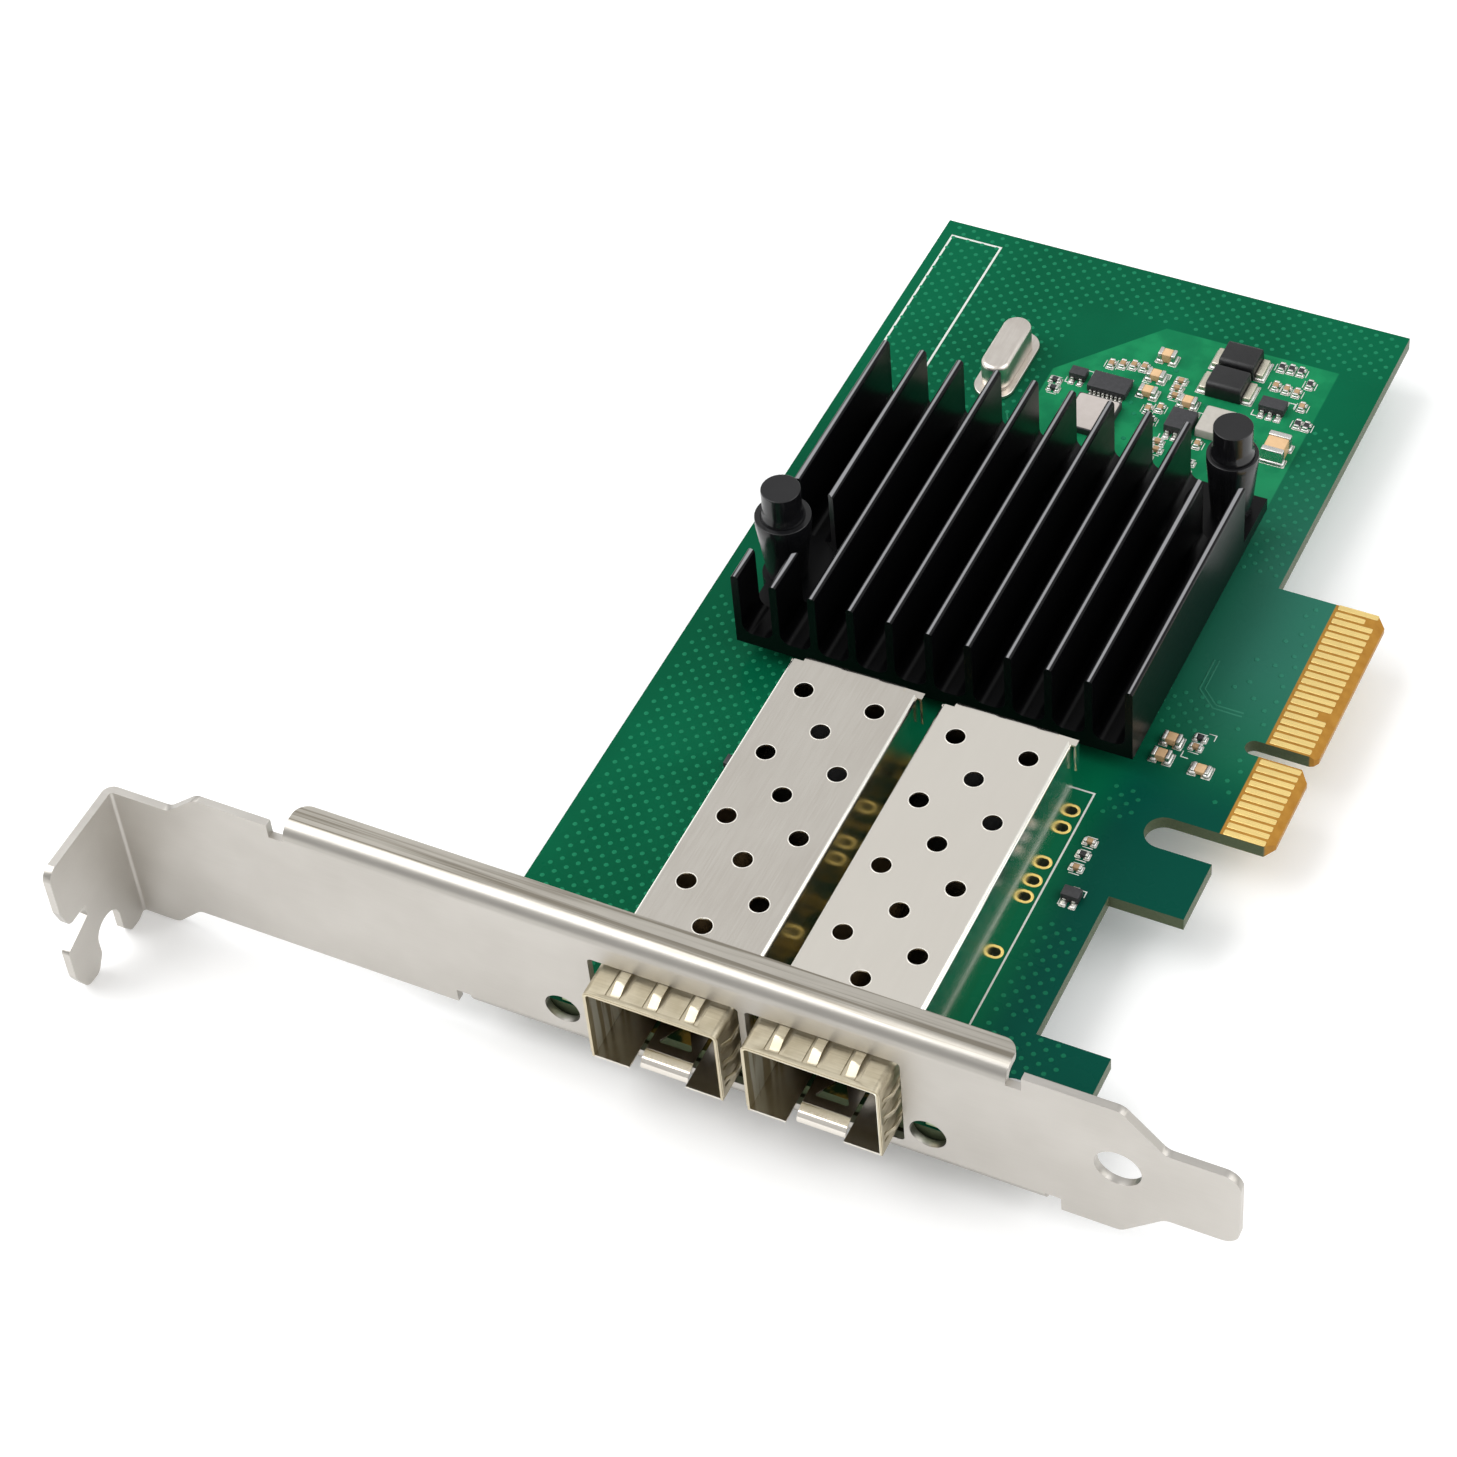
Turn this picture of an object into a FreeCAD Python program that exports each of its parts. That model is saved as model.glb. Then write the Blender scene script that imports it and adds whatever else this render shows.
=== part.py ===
"""Dual-port fibre network card for a PCI Express slot, as a parametric FreeCAD document.

Card axes while modelling: X runs along the bracket towards the card's edge contacts, Y runs from
the bracket's outer face into the card, and Z = 0 is the board's component side. Each finished
sub-part is then shifted so that the origin is at the bottom centre of the whole card's box.
All lengths are in millimetres.
"""
import FreeCAD, Part
import math
import os
import Sketcher

doc = FreeCAD.newDocument("network_card")

# ---------------------------------------------------------------------------------------------
# Driving sizes: alias, millimetres, meaning
# ---------------------------------------------------------------------------------------------
SIZES = [
    ("board_thick", 1.57, "circuit board thickness"),
    ("board_left", 1.3, "X of the board's long free edge"),
    ("board_near", 1.3, "Y of the board's edge behind the bracket"),
    ("board_far", 120.06, "Y of the board's far edge"),
    ("board_right", 56.9, "X of the edge beyond the contact tongue"),
    ("contact_edge", 68.9, "X of the contact tongue's outer edge"),
    ("tongue_far_rim", 0.29, "the tongue's far side beyond the last contact's centre"),
    ("tongue_near_rim", 0.37, "the tongue's near side beyond the first contact's centre"),
    ("tongue_corner", 1.0, "corner chamfer of the contact tongue"),
    ("key_centre", 57.14, "Y of the keying slot's centre"),
    ("key_width", 1.9, "width of the keying slot"),
    ("key_depth", 7.4, "depth of the keying slot from the contact edge"),
    ("bevel_run", 0.9, "length of the insertion bevel"),
    ("bevel_fall", 0.45, "depth of the insertion bevel on each face"),
    ("catch_reach", 64.04, "X of the retention catch's end"),
    ("catch_gap", 4.02, "width of the round notch between the tongue and the catch"),
    ("catch_width", 7.6, "width of the retention catch"),
    ("inlet_floor", 56.2, "X where the edge notches stop"),
    ("leg_margin", 6.5, "the board's leg beyond the right mounting screw's axis"),
    ("leg_far", 15.3, "Y of the leg's far side"),
    ("contact_margin", 0.9, "gold contacts' ends inside the tongue's outer edge"),
    ("contact_long", 4.4, "length of a gold contact"),
    ("contact_step", 1.15, "how much shorter the presence-detect contacts are"),
    ("contact_pitch", 1.0, "pitch of the contacts"),
    ("contact_width", 0.7, "width of a contact"),
    ("contact_thick", 0.05, "plating height of a contact"),
    ("key_to_contact", 1.5, "key centre to the nearest contact's centre"),
    ("bracket_thick", 0.86, "bracket sheet thickness"),
    ("bracket_bend", 0.34, "inner radius of the bracket's bends"),
    ("strip_low", -3.93, "Z of the bracket strip's lower edge"),
    ("strip_high", 14.49, "Z of the bracket strip's upper edge"),
    ("fold_low", -7.0, "Z of the lower edge near the screw tab"),
    ("fold_high", 11.4, "Z of the upper edge near the screw tab"),
    ("tab_face", -37.39, "X of the screw tab's outer face"),
    ("tab_reach", 12.2, "how far the screw tab stands out of the slot"),
    ("tooth_near", 1.2, "tab's lower tooth, its near side from the bracket face"),
    ("tooth_far", 2.6, "tab's lower tooth, its far side from the bracket face"),
    ("slot_mouth_near", -5.9, "Z of the screw slot's mouth, near side"),
    ("slot_mouth_far", -5.3, "Z of the screw slot's mouth, far side"),
    ("hook_toe", -7.05, "Z of the tab's hooked toe"),
    ("hook_toe_near", 8.8, "near side of the tab's hooked toe from the bracket face"),
    ("hook_toe_far", 10.9, "far side of the tab's hooked toe from the bracket face"),
    ("hook_back", -4.3, "Z where the hook's back starts"),
    ("neck_low", -0.2, "Z of the lower side of the tab's outer notch"),
    ("neck_slope", 1.25, "Z where the outer notch's slope meets its root"),
    ("neck_high", 2.75, "Z of the upper side of the tab's outer notch"),
    ("neck_root", 8.1, "root of the tab's outer notch from the bracket face"),
    ("tab_shoulder", 5.4, "Z of the tab's outer shoulder"),
    ("jog_low_start", -32.3, "X where the lower edge starts its jog"),
    ("jog_low_end", -29.2, "X where the lower edge ends its jog"),
    ("jog_high_start", -29.9, "X where the upper edge starts its jog"),
    ("jog_high_end", -26.4, "X where the upper edge ends its jog"),
    ("jog_round", 1.4, "radius at the jogs"),
    ("blade_start", 71.1, "X where the strip narrows to the blade"),
    ("blade_full", 75.4, "X where the blade has its final width"),
    ("blade_end", 82.64, "X of the blade's end"),
    ("blade_low", 0.1, "Z of the blade's lower edge"),
    ("blade_high", 10.15, "Z of the blade's upper edge"),
    ("blade_round", 1.8, "corner radius of the blade's end"),
    ("lip_depth", 3.9, "Y reach of the bracket's folded lips"),
    ("lip_bend", 0.9, "inner radius of the lips' bends"),
    ("lip_round", 1.6, "corner radius of the lips' free ends"),
    ("upper_lip_start", -16.4, "X where the upper lip starts"),
    ("upper_lip_end", 59.8, "X where the upper lip ends"),
    ("lower_lip_start", 2.4, "X where the lower lip starts"),
    ("lower_lip_end", 63.5, "X where the lower lip ends"),
    ("lip_relief", 1.6, "width of the relief notches beside the lips"),
    ("screw_slot_y", 5.65, "distance of the slot screw's axis from the bracket face"),
    ("screw_slot_width", 4.0, "width of the slot for the chassis screw"),
    ("screw_slot_top", -1.67, "Z where the screw slot ends"),
    ("finger_hole", 2.35, "radius of the hole beside the blade"),
    ("finger_hole_x", 70.78, "X of the hole beside the blade"),
    ("finger_hole_z", 5.7, "Z of the hole beside the blade"),
    ("light_hole", 1.9, "radius of the status light holes"),
    ("light_left_gap", 4.92, "left status light's axis to the left cage's wall"),
    ("light_right_gap", 3.18, "right cage's wall to the right status light's axis"),
    ("light_z", 0.85, "Z of the status lights' axis"),
    ("ear_width", 8.0, "width of the bracket's mounting ears"),
    ("ear_left_gap", 5.78, "left mounting screw's axis to the left status light's"),
    ("ear_right_gap", 5.72, "right status light's axis to the right mounting screw's"),
    ("ear_screw_y", 5.9, "Y of the mounting screws"),
    ("ear_reach", 9.5, "Y of the mounting ears' ends"),
    ("screw_radius", 1.5, "radius of the mounting screws"),
    ("screw_play", 0.15, "clearance of a mounting screw in the board"),
    ("screw_head_radius", 2.5, "radius of the mounting screw heads"),
    ("screw_head_high", 2.0, "height of the mounting screw heads"),
    ("cage_width", 14.0, "width of a port cage"),
    ("cage_high", 9.8, "height of a port cage"),
    ("cage_wall", 0.25, "cage sheet thickness"),
    ("cage_front", -3.4, "Y of the cage mouths"),
    ("cage_back", 43.0, "Y of the cages' back walls"),
    ("cage_round", 0.6, "outer bend radius of the cages"),
    ("left_port_x", 24.9, "X of the left port's centre"),
    ("cage_gap", 2.6, "space between the two cages"),
    ("window_gap_left", 1.2, "bracket window clearance left of a cage"),
    ("window_gap_right", 0.7, "bracket window clearance right of a cage"),
    ("window_gap_top", 0.7, "bracket window clearance above a cage"),
    ("window_gap_low", 1.5, "bracket window clearance below a cage"),
    ("vent_radius", 1.0, "radius of the vent holes"),
    ("vent_side", 3.9, "offset of the outer vent columns"),
    ("vent_pitch", 8.91, "pitch of the vent holes along the cage"),
    ("vent_far", 39.4, "Y of the outer columns' last vent hole"),
    ("hook_bulge", 1.2, "how far the cage's rear hook stands behind its back wall"),
    ("hook_low", 5.8, "Z of the rear hook's lower edge"),
    ("hook_left_inset", 1.4, "left end of the rear hook inside the cage's wall"),
    ("hook_right_inset", 1.6, "right end of the rear hook inside the cage's wall"),
    ("hook_lap", 0.2, "overlap of the rear hook and its side strip"),
    ("strip_reach", 0.7, "how far the side strip stands behind the back wall"),
    ("floor_mouth", 3.0, "half width of the gap between the floor's front lips"),
    ("latch_width", 5.1, "width of the latch tongue"),
    ("latch_front", -2.1, "Y of the latch tongue's curled end"),
    ("latch_root", 8.5, "Y where the latch tongue leaves the floor"),
    ("latch_drop", 1.1, "depth of the latch tongue's curl below the floor"),
    ("latch_window", 3.7, "base of the latch tongue's triangular window"),
    ("floor_back", 31.6, "Y where the cage floor ends"),
    ("collar_thick", 0.12, "spring collar sheet thickness"),
    ("collar_band", 0.55, "length of the collar's front band"),
    ("collar_back", 3.6, "Y where the spring collar ends"),
    ("collar_rear", 0.9, "length of the collar's rear band"),
    ("collar_bulge", 0.5, "how far the spring fingers stand out"),
    ("finger_slot", 1.9, "width of the slots round the top fingers"),
    ("finger_width", 1.0, "width of a top finger"),
    ("finger_pitch", 3.9, "pitch of the top fingers"),
    ("side_slot", 1.5, "width of the slots round the side fingers"),
    ("side_finger", 0.6, "width of a side finger"),
    ("side_pitch", 2.6, "pitch of the side fingers"),
    ("via_radius", 0.55, "radius of the press-fit holes"),
    ("via_offset", 0.15, "press-fit hole centre outside the cage wall"),
    ("tine_width", 0.5, "width of a press-fit tine"),
    ("tine_below", 0.9, "length of a tine below the board"),
    ("socket_play", 0.65, "space between a cage's wall and its inner connector"),
    ("socket_high", 5.6, "height of a port's inner connector"),
    ("socket_front", 32.6, "Y of the inner connector's front"),
    ("socket_back", 41.4, "Y of the inner connector's back"),
    ("socket_slot", 9.8, "width of the inner connector's card slot"),
    ("socket_slot_low", 2.3, "Z of the card slot's lower side"),
    ("socket_slot_high", 3.7, "Z of the card slot's upper side"),
    ("socket_slot_deep", 6.0, "depth of the card slot"),
    ("lead_pitch", 0.8, "pitch of the inner connector's leads"),
    ("lead_width", 0.35, "width of an inner connector lead"),
    ("lead_reach", 0.8, "length of an inner connector lead's foot"),
    ("lead_thick", 0.15, "thickness of leads"),
    ("sink_left", 8.3, "X of the heatsink's left side"),
    ("sink_right", 52.5, "X of the heatsink's right side"),
    ("sink_near", 49.05, "Y of the heatsink's near side"),
    ("sink_far", 87.0, "Y of the heatsink's far side"),
    ("sink_under", 2.5, "Z of the heatsink's underside"),
    ("sink_base", 1.6, "thickness of the heatsink's base"),
    ("sink_top", 12.2, "Z of the fin tips"),
    ("fin_thick", 0.85, "thickness of a fin"),
    ("fin_gap", 3.49, "space between fins"),
    ("fin_root", 1.2, "radius between the fins and the base"),
    ("sink_ear", 2.7, "radius of the ear round the left pin"),
    ("pin_left_x", 9.7, "X of the left push pin"),
    ("pin_left_y", 58.8, "Y of the left push pin"),
    ("pin_right_x", 49.5, "X of the right push pin"),
    ("pin_right_y", 84.2, "Y of the right push pin"),
    ("pin_clear_left", 5.6, "radius cut out of the fins round the left pin"),
    ("pin_clear_right", 5.1, "radius cut out of the fins round the right pin"),
    ("pin_cap", 2.1, "radius of a push pin's cap"),
    ("pin_top", 16.2, "Z of the push pins' tops"),
    ("pin_cap_high", 2.6, "height of a push pin's cap"),
    ("pin_core", 0.8, "radius of a push pin's core"),
    ("sleeve_left", 3.0, "top radius of the left pin's sleeve"),
    ("sleeve_right", 2.75, "top radius of the right pin's sleeve"),
    ("sleeve_foot", 2.15, "radius of the sleeves at the heatsink"),
    ("sleeve_top", 12.4, "Z of the sleeves' tops"),
    ("sleeve_shank", 1.5, "radius of the sleeves' shanks through the board"),
    ("sleeve_barb", 1.95, "radius of the sleeves' barbed tips"),
    ("barb_drop", 1.9, "length of the barbed tips below the board"),
    ("pin_play", 0.1, "clearance round the push pins' shanks and cores"),
    ("chip_x", 30.4, "X of the controller's centre"),
    ("chip_y", 68.2, "Y of the controller's centre"),
    ("chip_side", 25.0, "side of the controller's carrier"),
    ("chip_carrier", 1.1, "thickness of the controller's carrier"),
    ("chip_lid_side", 19.0, "side of the controller's moulded cap"),
    ("chip_lid_high", 0.9, "height of the moulded cap"),
    ("crystal_x", 17.15, "X of the crystal's centre"),
    ("crystal_y", 99.7, "Y of the crystal's centre"),
    ("crystal_long", 9.1, "length of the crystal can"),
    ("crystal_wide", 3.3, "width of the crystal can"),
    ("crystal_top", 3.8, "Z of the crystal can's top"),
    ("crystal_flange", 0.5, "thickness of the crystal's base"),
    ("crystal_soft", 0.4, "bevel round the crystal can's top"),
    ("crystal_rim", 1.1, "how far the crystal's base stands out round its can"),
    ("coil_wide", 4.2, "width of a power inductor"),
    ("coil_deep", 3.6, "depth of a power inductor"),
    ("coil_high", 2.0, "height of a power inductor"),
    ("coil_round", 0.7, "edge radius of a power inductor"),
    ("tag_reach", 0.9, "how far a power inductor's tag sticks out"),
    ("tag_width", 2.7, "width of a power inductor's tag"),
    ("tag_high", 0.8, "height of a power inductor's tag"),
    ("layout_unit", 1.0, "unit in which the components' places on the board are listed"),
    ("small_long", 1.2, "length of a small chip part"),
    ("small_wide", 0.6, "width of a small chip part"),
    ("small_high", 0.5, "height of a small chip part"),
    ("stand_off", 0.1, "gap between a moulded package and the board"),
    ("shoulder_high", 0.5, "height of a package lead's shoulder"),
    ("memory_long", 4.5, "length of the memory chip"),
    ("memory_wide", 2.6, "width of the memory chip"),
    ("memory_top", 1.0, "Z of the memory chip's top"),
    ("memory_pitch", 0.5, "pitch of the memory chip's leads"),
    ("memory_lead", 0.25, "width of the memory chip's leads"),
    ("flash_long", 5.0, "length of the flash chip"),
    ("flash_wide", 5.4, "width of the flash chip"),
    ("flash_top", 0.85, "Z of the flash chip's top"),
    ("choke_side", 4.0, "side of the shielded inductor"),
    ("choke_top", 1.2, "Z of the shielded inductor's top"),
    ("power_side", 2.9, "X length of the regulator and the power chip"),
    ("regulator_wide", 1.6, "width of the regulator"),
    ("regulator_top", 1.1, "Z of the regulator's top"),
    ("power_wide", 3.1, "width of the power chip"),
    ("power_top", 1.2, "Z of the power chip's top"),
    ("power_pitch", 0.95, "pitch of the regulator's and the power chip's leads"),
    ("power_lead", 0.4, "width of the regulator's and the power chip's leads"),
    ("package_reach", 0.8, "how far the chips' leads stand out"),
    ("transistor_long", 1.9, "length of a transistor"),
    ("transistor_wide", 1.3, "width of a transistor"),
    ("transistor_top", 1.0, "Z of a transistor's top"),
    ("transistor_pitch", 1.0, "pitch of a transistor's leads"),
    ("transistor_lead", 0.35, "width of a transistor's leads"),
    ("transistor_reach", 0.6, "how far a transistor's leads stand out"),
    ("lens_width", 1.8, "width of a status light's lens"),
    ("lens_deep", 0.6, "depth of a status light's lens"),
    ("lens_top", 1.5, "Z of a status light's lens top"),
    ("lamp_width", 3.0, "width of a status light's case"),
    ("lamp_deep", 1.2, "depth of a status light's case"),
    ("lamp_top", 1.7, "Z of a status light's case top"),
    ("lamp_gap", 0.15, "gap between the board's edge and a status light's lens"),
]

sheet = doc.addObject("Spreadsheet::Sheet", "Dims")
for row, (alias, length, meaning) in enumerate(SIZES, start=1):
    sheet.set(f"A{row}", meaning)
    sheet.set(f"B{row}", str(length))
    sheet.setAlias(f"B{row}", alias)
doc.recompute()


# ---------------------------------------------------------------------------------------------
# Sizes that keep their formula, so that every dimension can be bound to the sheet
# ---------------------------------------------------------------------------------------------
class Size:
    """A number together with the sheet formula that gives it; arithmetic keeps both."""

    def __init__(self, number, formula):
        self.number = number
        self.formula = formula

    def __add__(self, other):
        return _combine(self, other, "+", lambda a, b: a + b)

    def __radd__(self, other):
        return _combine(other, self, "+", lambda a, b: a + b)

    def __sub__(self, other):
        return _combine(self, other, "-", lambda a, b: a - b)

    def __rsub__(self, other):
        return _combine(other, self, "-", lambda a, b: a - b)

    def __mul__(self, other):
        return _combine(self, other, "*", lambda a, b: a * b)

    def __rmul__(self, other):
        return _combine(other, self, "*", lambda a, b: a * b)

    def __truediv__(self, other):
        return _combine(self, other, "/", lambda a, b: a / b)

    def __neg__(self):
        return Size(-self.number, f"(0 - {self.formula})")


def size(value):
    """The value itself when it is a Size, or a plain number as a Size."""
    if isinstance(value, Size):
        return value
    return Size(float(value), f"({float(value)})")


def _combine(left, right, sign, operation):
    left, right = size(left), size(right)
    return Size(operation(left.number, right.number), f"({left.formula} {sign} {right.formula})")


class Dims:
    """The sheet's cells as attributes."""


d = Dims()
for alias, length, meaning in SIZES:
    setattr(d, alias, Size(length, f"Dims.{alias}"))

# Places that several sub-parts share
SIDES = ["left", "right"]
FAR_CONTACTS = 21
NEAR_CONTACTS = 11
cage_half = d.cage_width / 2
PORT_X = [d.left_port_x, d.left_port_x + d.cage_width + d.cage_gap]
LIGHT_X = [PORT_X[0] - cage_half - d.light_left_gap, PORT_X[1] + cage_half + d.light_right_gap]
EAR_X = [LIGHT_X[0] - d.ear_left_gap, LIGHT_X[1] + d.ear_right_gap]
tongue_far = (d.key_centre + d.key_to_contact + d.contact_pitch * (FAR_CONTACTS - 1)
              + d.tongue_far_rim)
tongue_near = (d.key_centre - d.key_to_contact - d.contact_pitch * (NEAR_CONTACTS - 1)
               - d.tongue_near_rim)
catch_far = tongue_near - d.catch_gap
catch_near = catch_far - d.catch_width
tab_inner = d.tab_face + d.bracket_thick
bend_outer = d.bracket_bend + d.bracket_thick
lip_outer = d.lip_bend + d.bracket_thick
leg_reach = EAR_X[1] + d.leg_margin
tooth_low = d.fold_low - 0.4
board_under = -d.board_thick
sink_floor = d.sink_under + d.sink_base
PIN_PLACES = [(d.pin_left_x, d.pin_left_y), (d.pin_right_x, d.pin_right_y)]
LOW_X = d.tab_face
HIGH_X = d.blade_end
LOW_Y = -d.tab_reach

# The finished card's origin: bottom centre of its box
ORIGIN = [(LOW_X + HIGH_X) / -2, (LOW_Y + d.board_far) / -2, -tooth_low]

nodes = []


# ---------------------------------------------------------------------------------------------
# Tools
# ---------------------------------------------------------------------------------------------
def finish(shape_object, label, at=(0, 0, 0)):
    """Name a finished sub-part, shift it to the card's origin and keep it for export."""
    shape_object.Label = label
    for axis, move, place in zip("xyz", ORIGIN, at):
        shape_object.setExpression(f"Placement.Base.{axis}", (move + place).formula)
    nodes.append(shape_object)
    return shape_object


def new_body(label, at=(0, 0, 0)):
    body = doc.addObject("PartDesign::Body", label)
    return finish(body, label, at)


def new_sketch(body, plane, offset=None):
    """A sketch on one of the body's origin planes, moved along the plane's normal."""
    sketch = body.newObject("Sketcher::SketchObject", "Sketch")
    base_plane = next(item for item in body.Origin.OriginFeatures if item.Role == plane)
    sketch.AttachmentSupport = [(base_plane, "")]
    sketch.MapMode = "FlatFace"
    if offset is not None:
        toward = -size(offset) if plane == "XZ_Plane" else size(offset)
        sketch.setExpression("AttachmentOffset.Base.z", toward.formula)
    return sketch


def point(x, y):
    return FreeCAD.Vector(x, y, 0)


def placed(geometry, position, x, y):
    """Rules that dimension one point of a sketch from the sketch's origin."""
    return [(Sketcher.Constraint(kind, -1, 1, geometry, position, coordinate.number),
             coordinate.formula)
            for kind, coordinate in (("DistanceX", size(x)), ("DistanceY", size(y)))]


def add_rules(sketch, rules):
    """Add constraints in one step and bind the ones that carry a formula to the sheet."""
    first = sketch.ConstraintCount
    sketch.addConstraint([rule for rule, formula in rules])
    for index, (rule, formula) in enumerate(rules, start=first):
        if formula is not None:
            sketch.setExpression(f"Constraints[{index}]", formula)


def unit_between(start, end):
    step = end.sub(start)
    return step.multiply(1.0 / step.Length)


def outline(sketch, corners):
    """Closed outline through corners (x, y) or (x, y, radius), each dimensioned from the origin.

    A corner with a radius gets a tangent arc. Its sharp corner stays as a construction point on
    both neighbouring lines, and that point carries the dimensions.
    """
    count = len(corners)
    sharp = [point(size(c[0]).number, size(c[1]).number) for c in corners]
    radii = [size(c[2]) if len(c) > 2 else None for c in corners]
    leave, arrive, arcs = [], [], []
    for i in range(count):
        before = unit_between(sharp[i], sharp[i - 1])
        after = unit_between(sharp[i], sharp[(i + 1) % count])
        if radii[i] is None:
            arrive.append(sharp[i])
            leave.append(sharp[i])
            arcs.append(None)
            continue
        half = before.getAngle(after) / 2
        setback = radii[i].number / math.tan(half)
        start = sharp[i] + before * setback
        end = sharp[i] + after * setback
        middle = unit_between(FreeCAD.Vector(), before + after)
        centre = sharp[i] + middle * (radii[i].number / math.sin(half))
        arrive.append(start)
        leave.append(end)
        arcs.append((centre, start, end))
    lines = [sketch.addGeometry(Part.LineSegment(leave[i], arrive[(i + 1) % count]), False)
             for i in range(count)]
    rules = []
    for i in range(count):
        line_in, line_out = lines[i - 1], lines[i]
        if arcs[i] is None:
            rules.append((Sketcher.Constraint("Coincident", line_in, 2, line_out, 1), None))
            rules += placed(line_out, 1, corners[i][0], corners[i][1])
            continue
        centre, start, end = arcs[i]
        turn = (start - centre).cross(end - centre).z
        first, last = (start, end) if turn > 0 else (end, start)
        arc = sketch.addGeometry(_arc(centre, first, last), False)
        at_start, at_end = (1, 2) if turn > 0 else (2, 1)
        mark = sketch.addGeometry(Part.Point(sharp[i]), True)
        rules += [
            (Sketcher.Constraint("Tangent", line_in, 2, arc, at_start), None),
            (Sketcher.Constraint("Tangent", arc, at_end, line_out, 1), None),
            (Sketcher.Constraint("PointOnObject", mark, 1, line_in), None),
            (Sketcher.Constraint("PointOnObject", mark, 1, line_out), None),
            (Sketcher.Constraint("Radius", arc, radii[i].number), radii[i].formula)]
        rules += placed(mark, 1, corners[i][0], corners[i][1])
    add_rules(sketch, rules)
    return sketch


def _arc(centre, first, last):
    """Counter-clockwise arc about a centre."""
    radius = (first - centre).Length
    east = FreeCAD.Vector(1, 0, 0)
    angles = []
    for tip in (first, last):
        angle = (tip - centre).getAngle(east)
        angles.append(angle if tip.y >= centre.y else -angle)
    return Part.ArcOfCircle(Part.Circle(centre, FreeCAD.Vector(0, 0, 1), radius), *angles)


def rectangle(sketch, x0, x1, y0, y1):
    return outline(sketch, [(x0, y0), (x1, y0), (x1, y1), (x0, y1)])


def circles(sketch, places):
    """Circles at (x, y, radius), each dimensioned from the origin."""
    rules = []
    for place in places:
        x, y, radius = [size(value) for value in place]
        ring = sketch.addGeometry(
            Part.Circle(point(x.number, y.number), FreeCAD.Vector(0, 0, 1), radius.number), False)
        rules += placed(ring, 3, x, y)
        rules.append((Sketcher.Constraint("Radius", ring, radius.number), radius.formula))
    add_rules(sketch, rules)
    return sketch


def pad(body, sketch, length, reverse=False):
    """Extrude a sketch; along +Y from the XZ plane, or along the plane's normal from the others."""
    feature = body.newObject("PartDesign::Pad", "Pad")
    feature.Profile = sketch
    feature.Length = size(length).number
    feature.setExpression("Length", size(length).formula)
    on_xz = sketch.AttachmentSupport[0][0].Role == "XZ_Plane"
    feature.Reversed = on_xz != reverse
    sketch.Visibility = False
    return feature


def pocket(body, sketch, length=None, reverse=False):
    """Cut a sketch out of the body all the way both ways, or to a depth: down from the XY plane,
    along +Y from the XZ plane, or the other way when reversed. Check that it cut."""
    doc.recompute()
    before = body.Shape.Volume
    feature = body.newObject("PartDesign::Pocket", "Pocket")
    feature.Profile = sketch
    if length is None:
        feature.Type = "ThroughAll"
        feature.Midplane = True
    else:
        feature.Length = size(length).number
        feature.setExpression("Length", size(length).formula)
        feature.Reversed = reverse
    doc.recompute()
    if not body.Shape.Volume < before - 1e-6:
        raise RuntimeError(f"a pocket of {body.Label} cut nothing")
    return feature


def box(x0, x1, y0, y1, z0, z1):
    """A block between two corners."""
    block = doc.addObject("Part::Box", "Block")
    for name, low, high in (("Length", x0, x1), ("Width", y0, y1), ("Height", z0, z1)):
        block.setExpression(name, (size(high) - low).formula)
    for axis, low in zip("xyz", (x0, y0, z0)):
        block.setExpression(f"Placement.Base.{axis}", size(low).formula)
    return block


def centred_box(x, y, length, width, z0, z1):
    x, y = size(x), size(y)
    half_x, half_y = size(length) / 2, size(width) / 2
    return box(x - half_x, x + half_x, y - half_y, y + half_y, z0, z1)


def cylinder(x, y, z0, z1, radius):
    post = doc.addObject("Part::Cylinder", "Post")
    post.setExpression("Radius", size(radius).formula)
    post.setExpression("Height", (size(z1) - z0).formula)
    for axis, low in zip("xyz", (x, y, z0)):
        post.setExpression(f"Placement.Base.{axis}", size(low).formula)
    return post


def cut(base, *tools):
    for tool in tools:
        result = doc.addObject("Part::Cut", "Cut")
        result.Base, result.Tool = base, tool
        base = result
    return base


def group(label, solids):
    """Separate solids of one kind in one sub-part."""
    holder = doc.addObject("Part::Compound", label)
    holder.Links = solids
    return finish(holder, label)


# ---------------------------------------------------------------------------------------------
# Circuit board and its edge contacts
# ---------------------------------------------------------------------------------------------
# Press-fit holes along a cage's walls, as Y from the bracket's outer face
RIGHT_WALL_HOLES = [8.0, 23.0, 30.5, 32.7, 35.2, 40.1, 42.5]
LEFT_WALL_HOLES = [8.0, 17.8, 27.9, 30.2, 35.2, 40.1]
# Of these, the ones that hold a tine of the cage; the others are plated through
RIGHT_WALL_TINES = [8.0, 23.0, 32.7, 40.1]
LEFT_WALL_TINES = [8.0, 17.8, 27.9, 35.2]
SHORT_CONTACTS = (2, 16)


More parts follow.
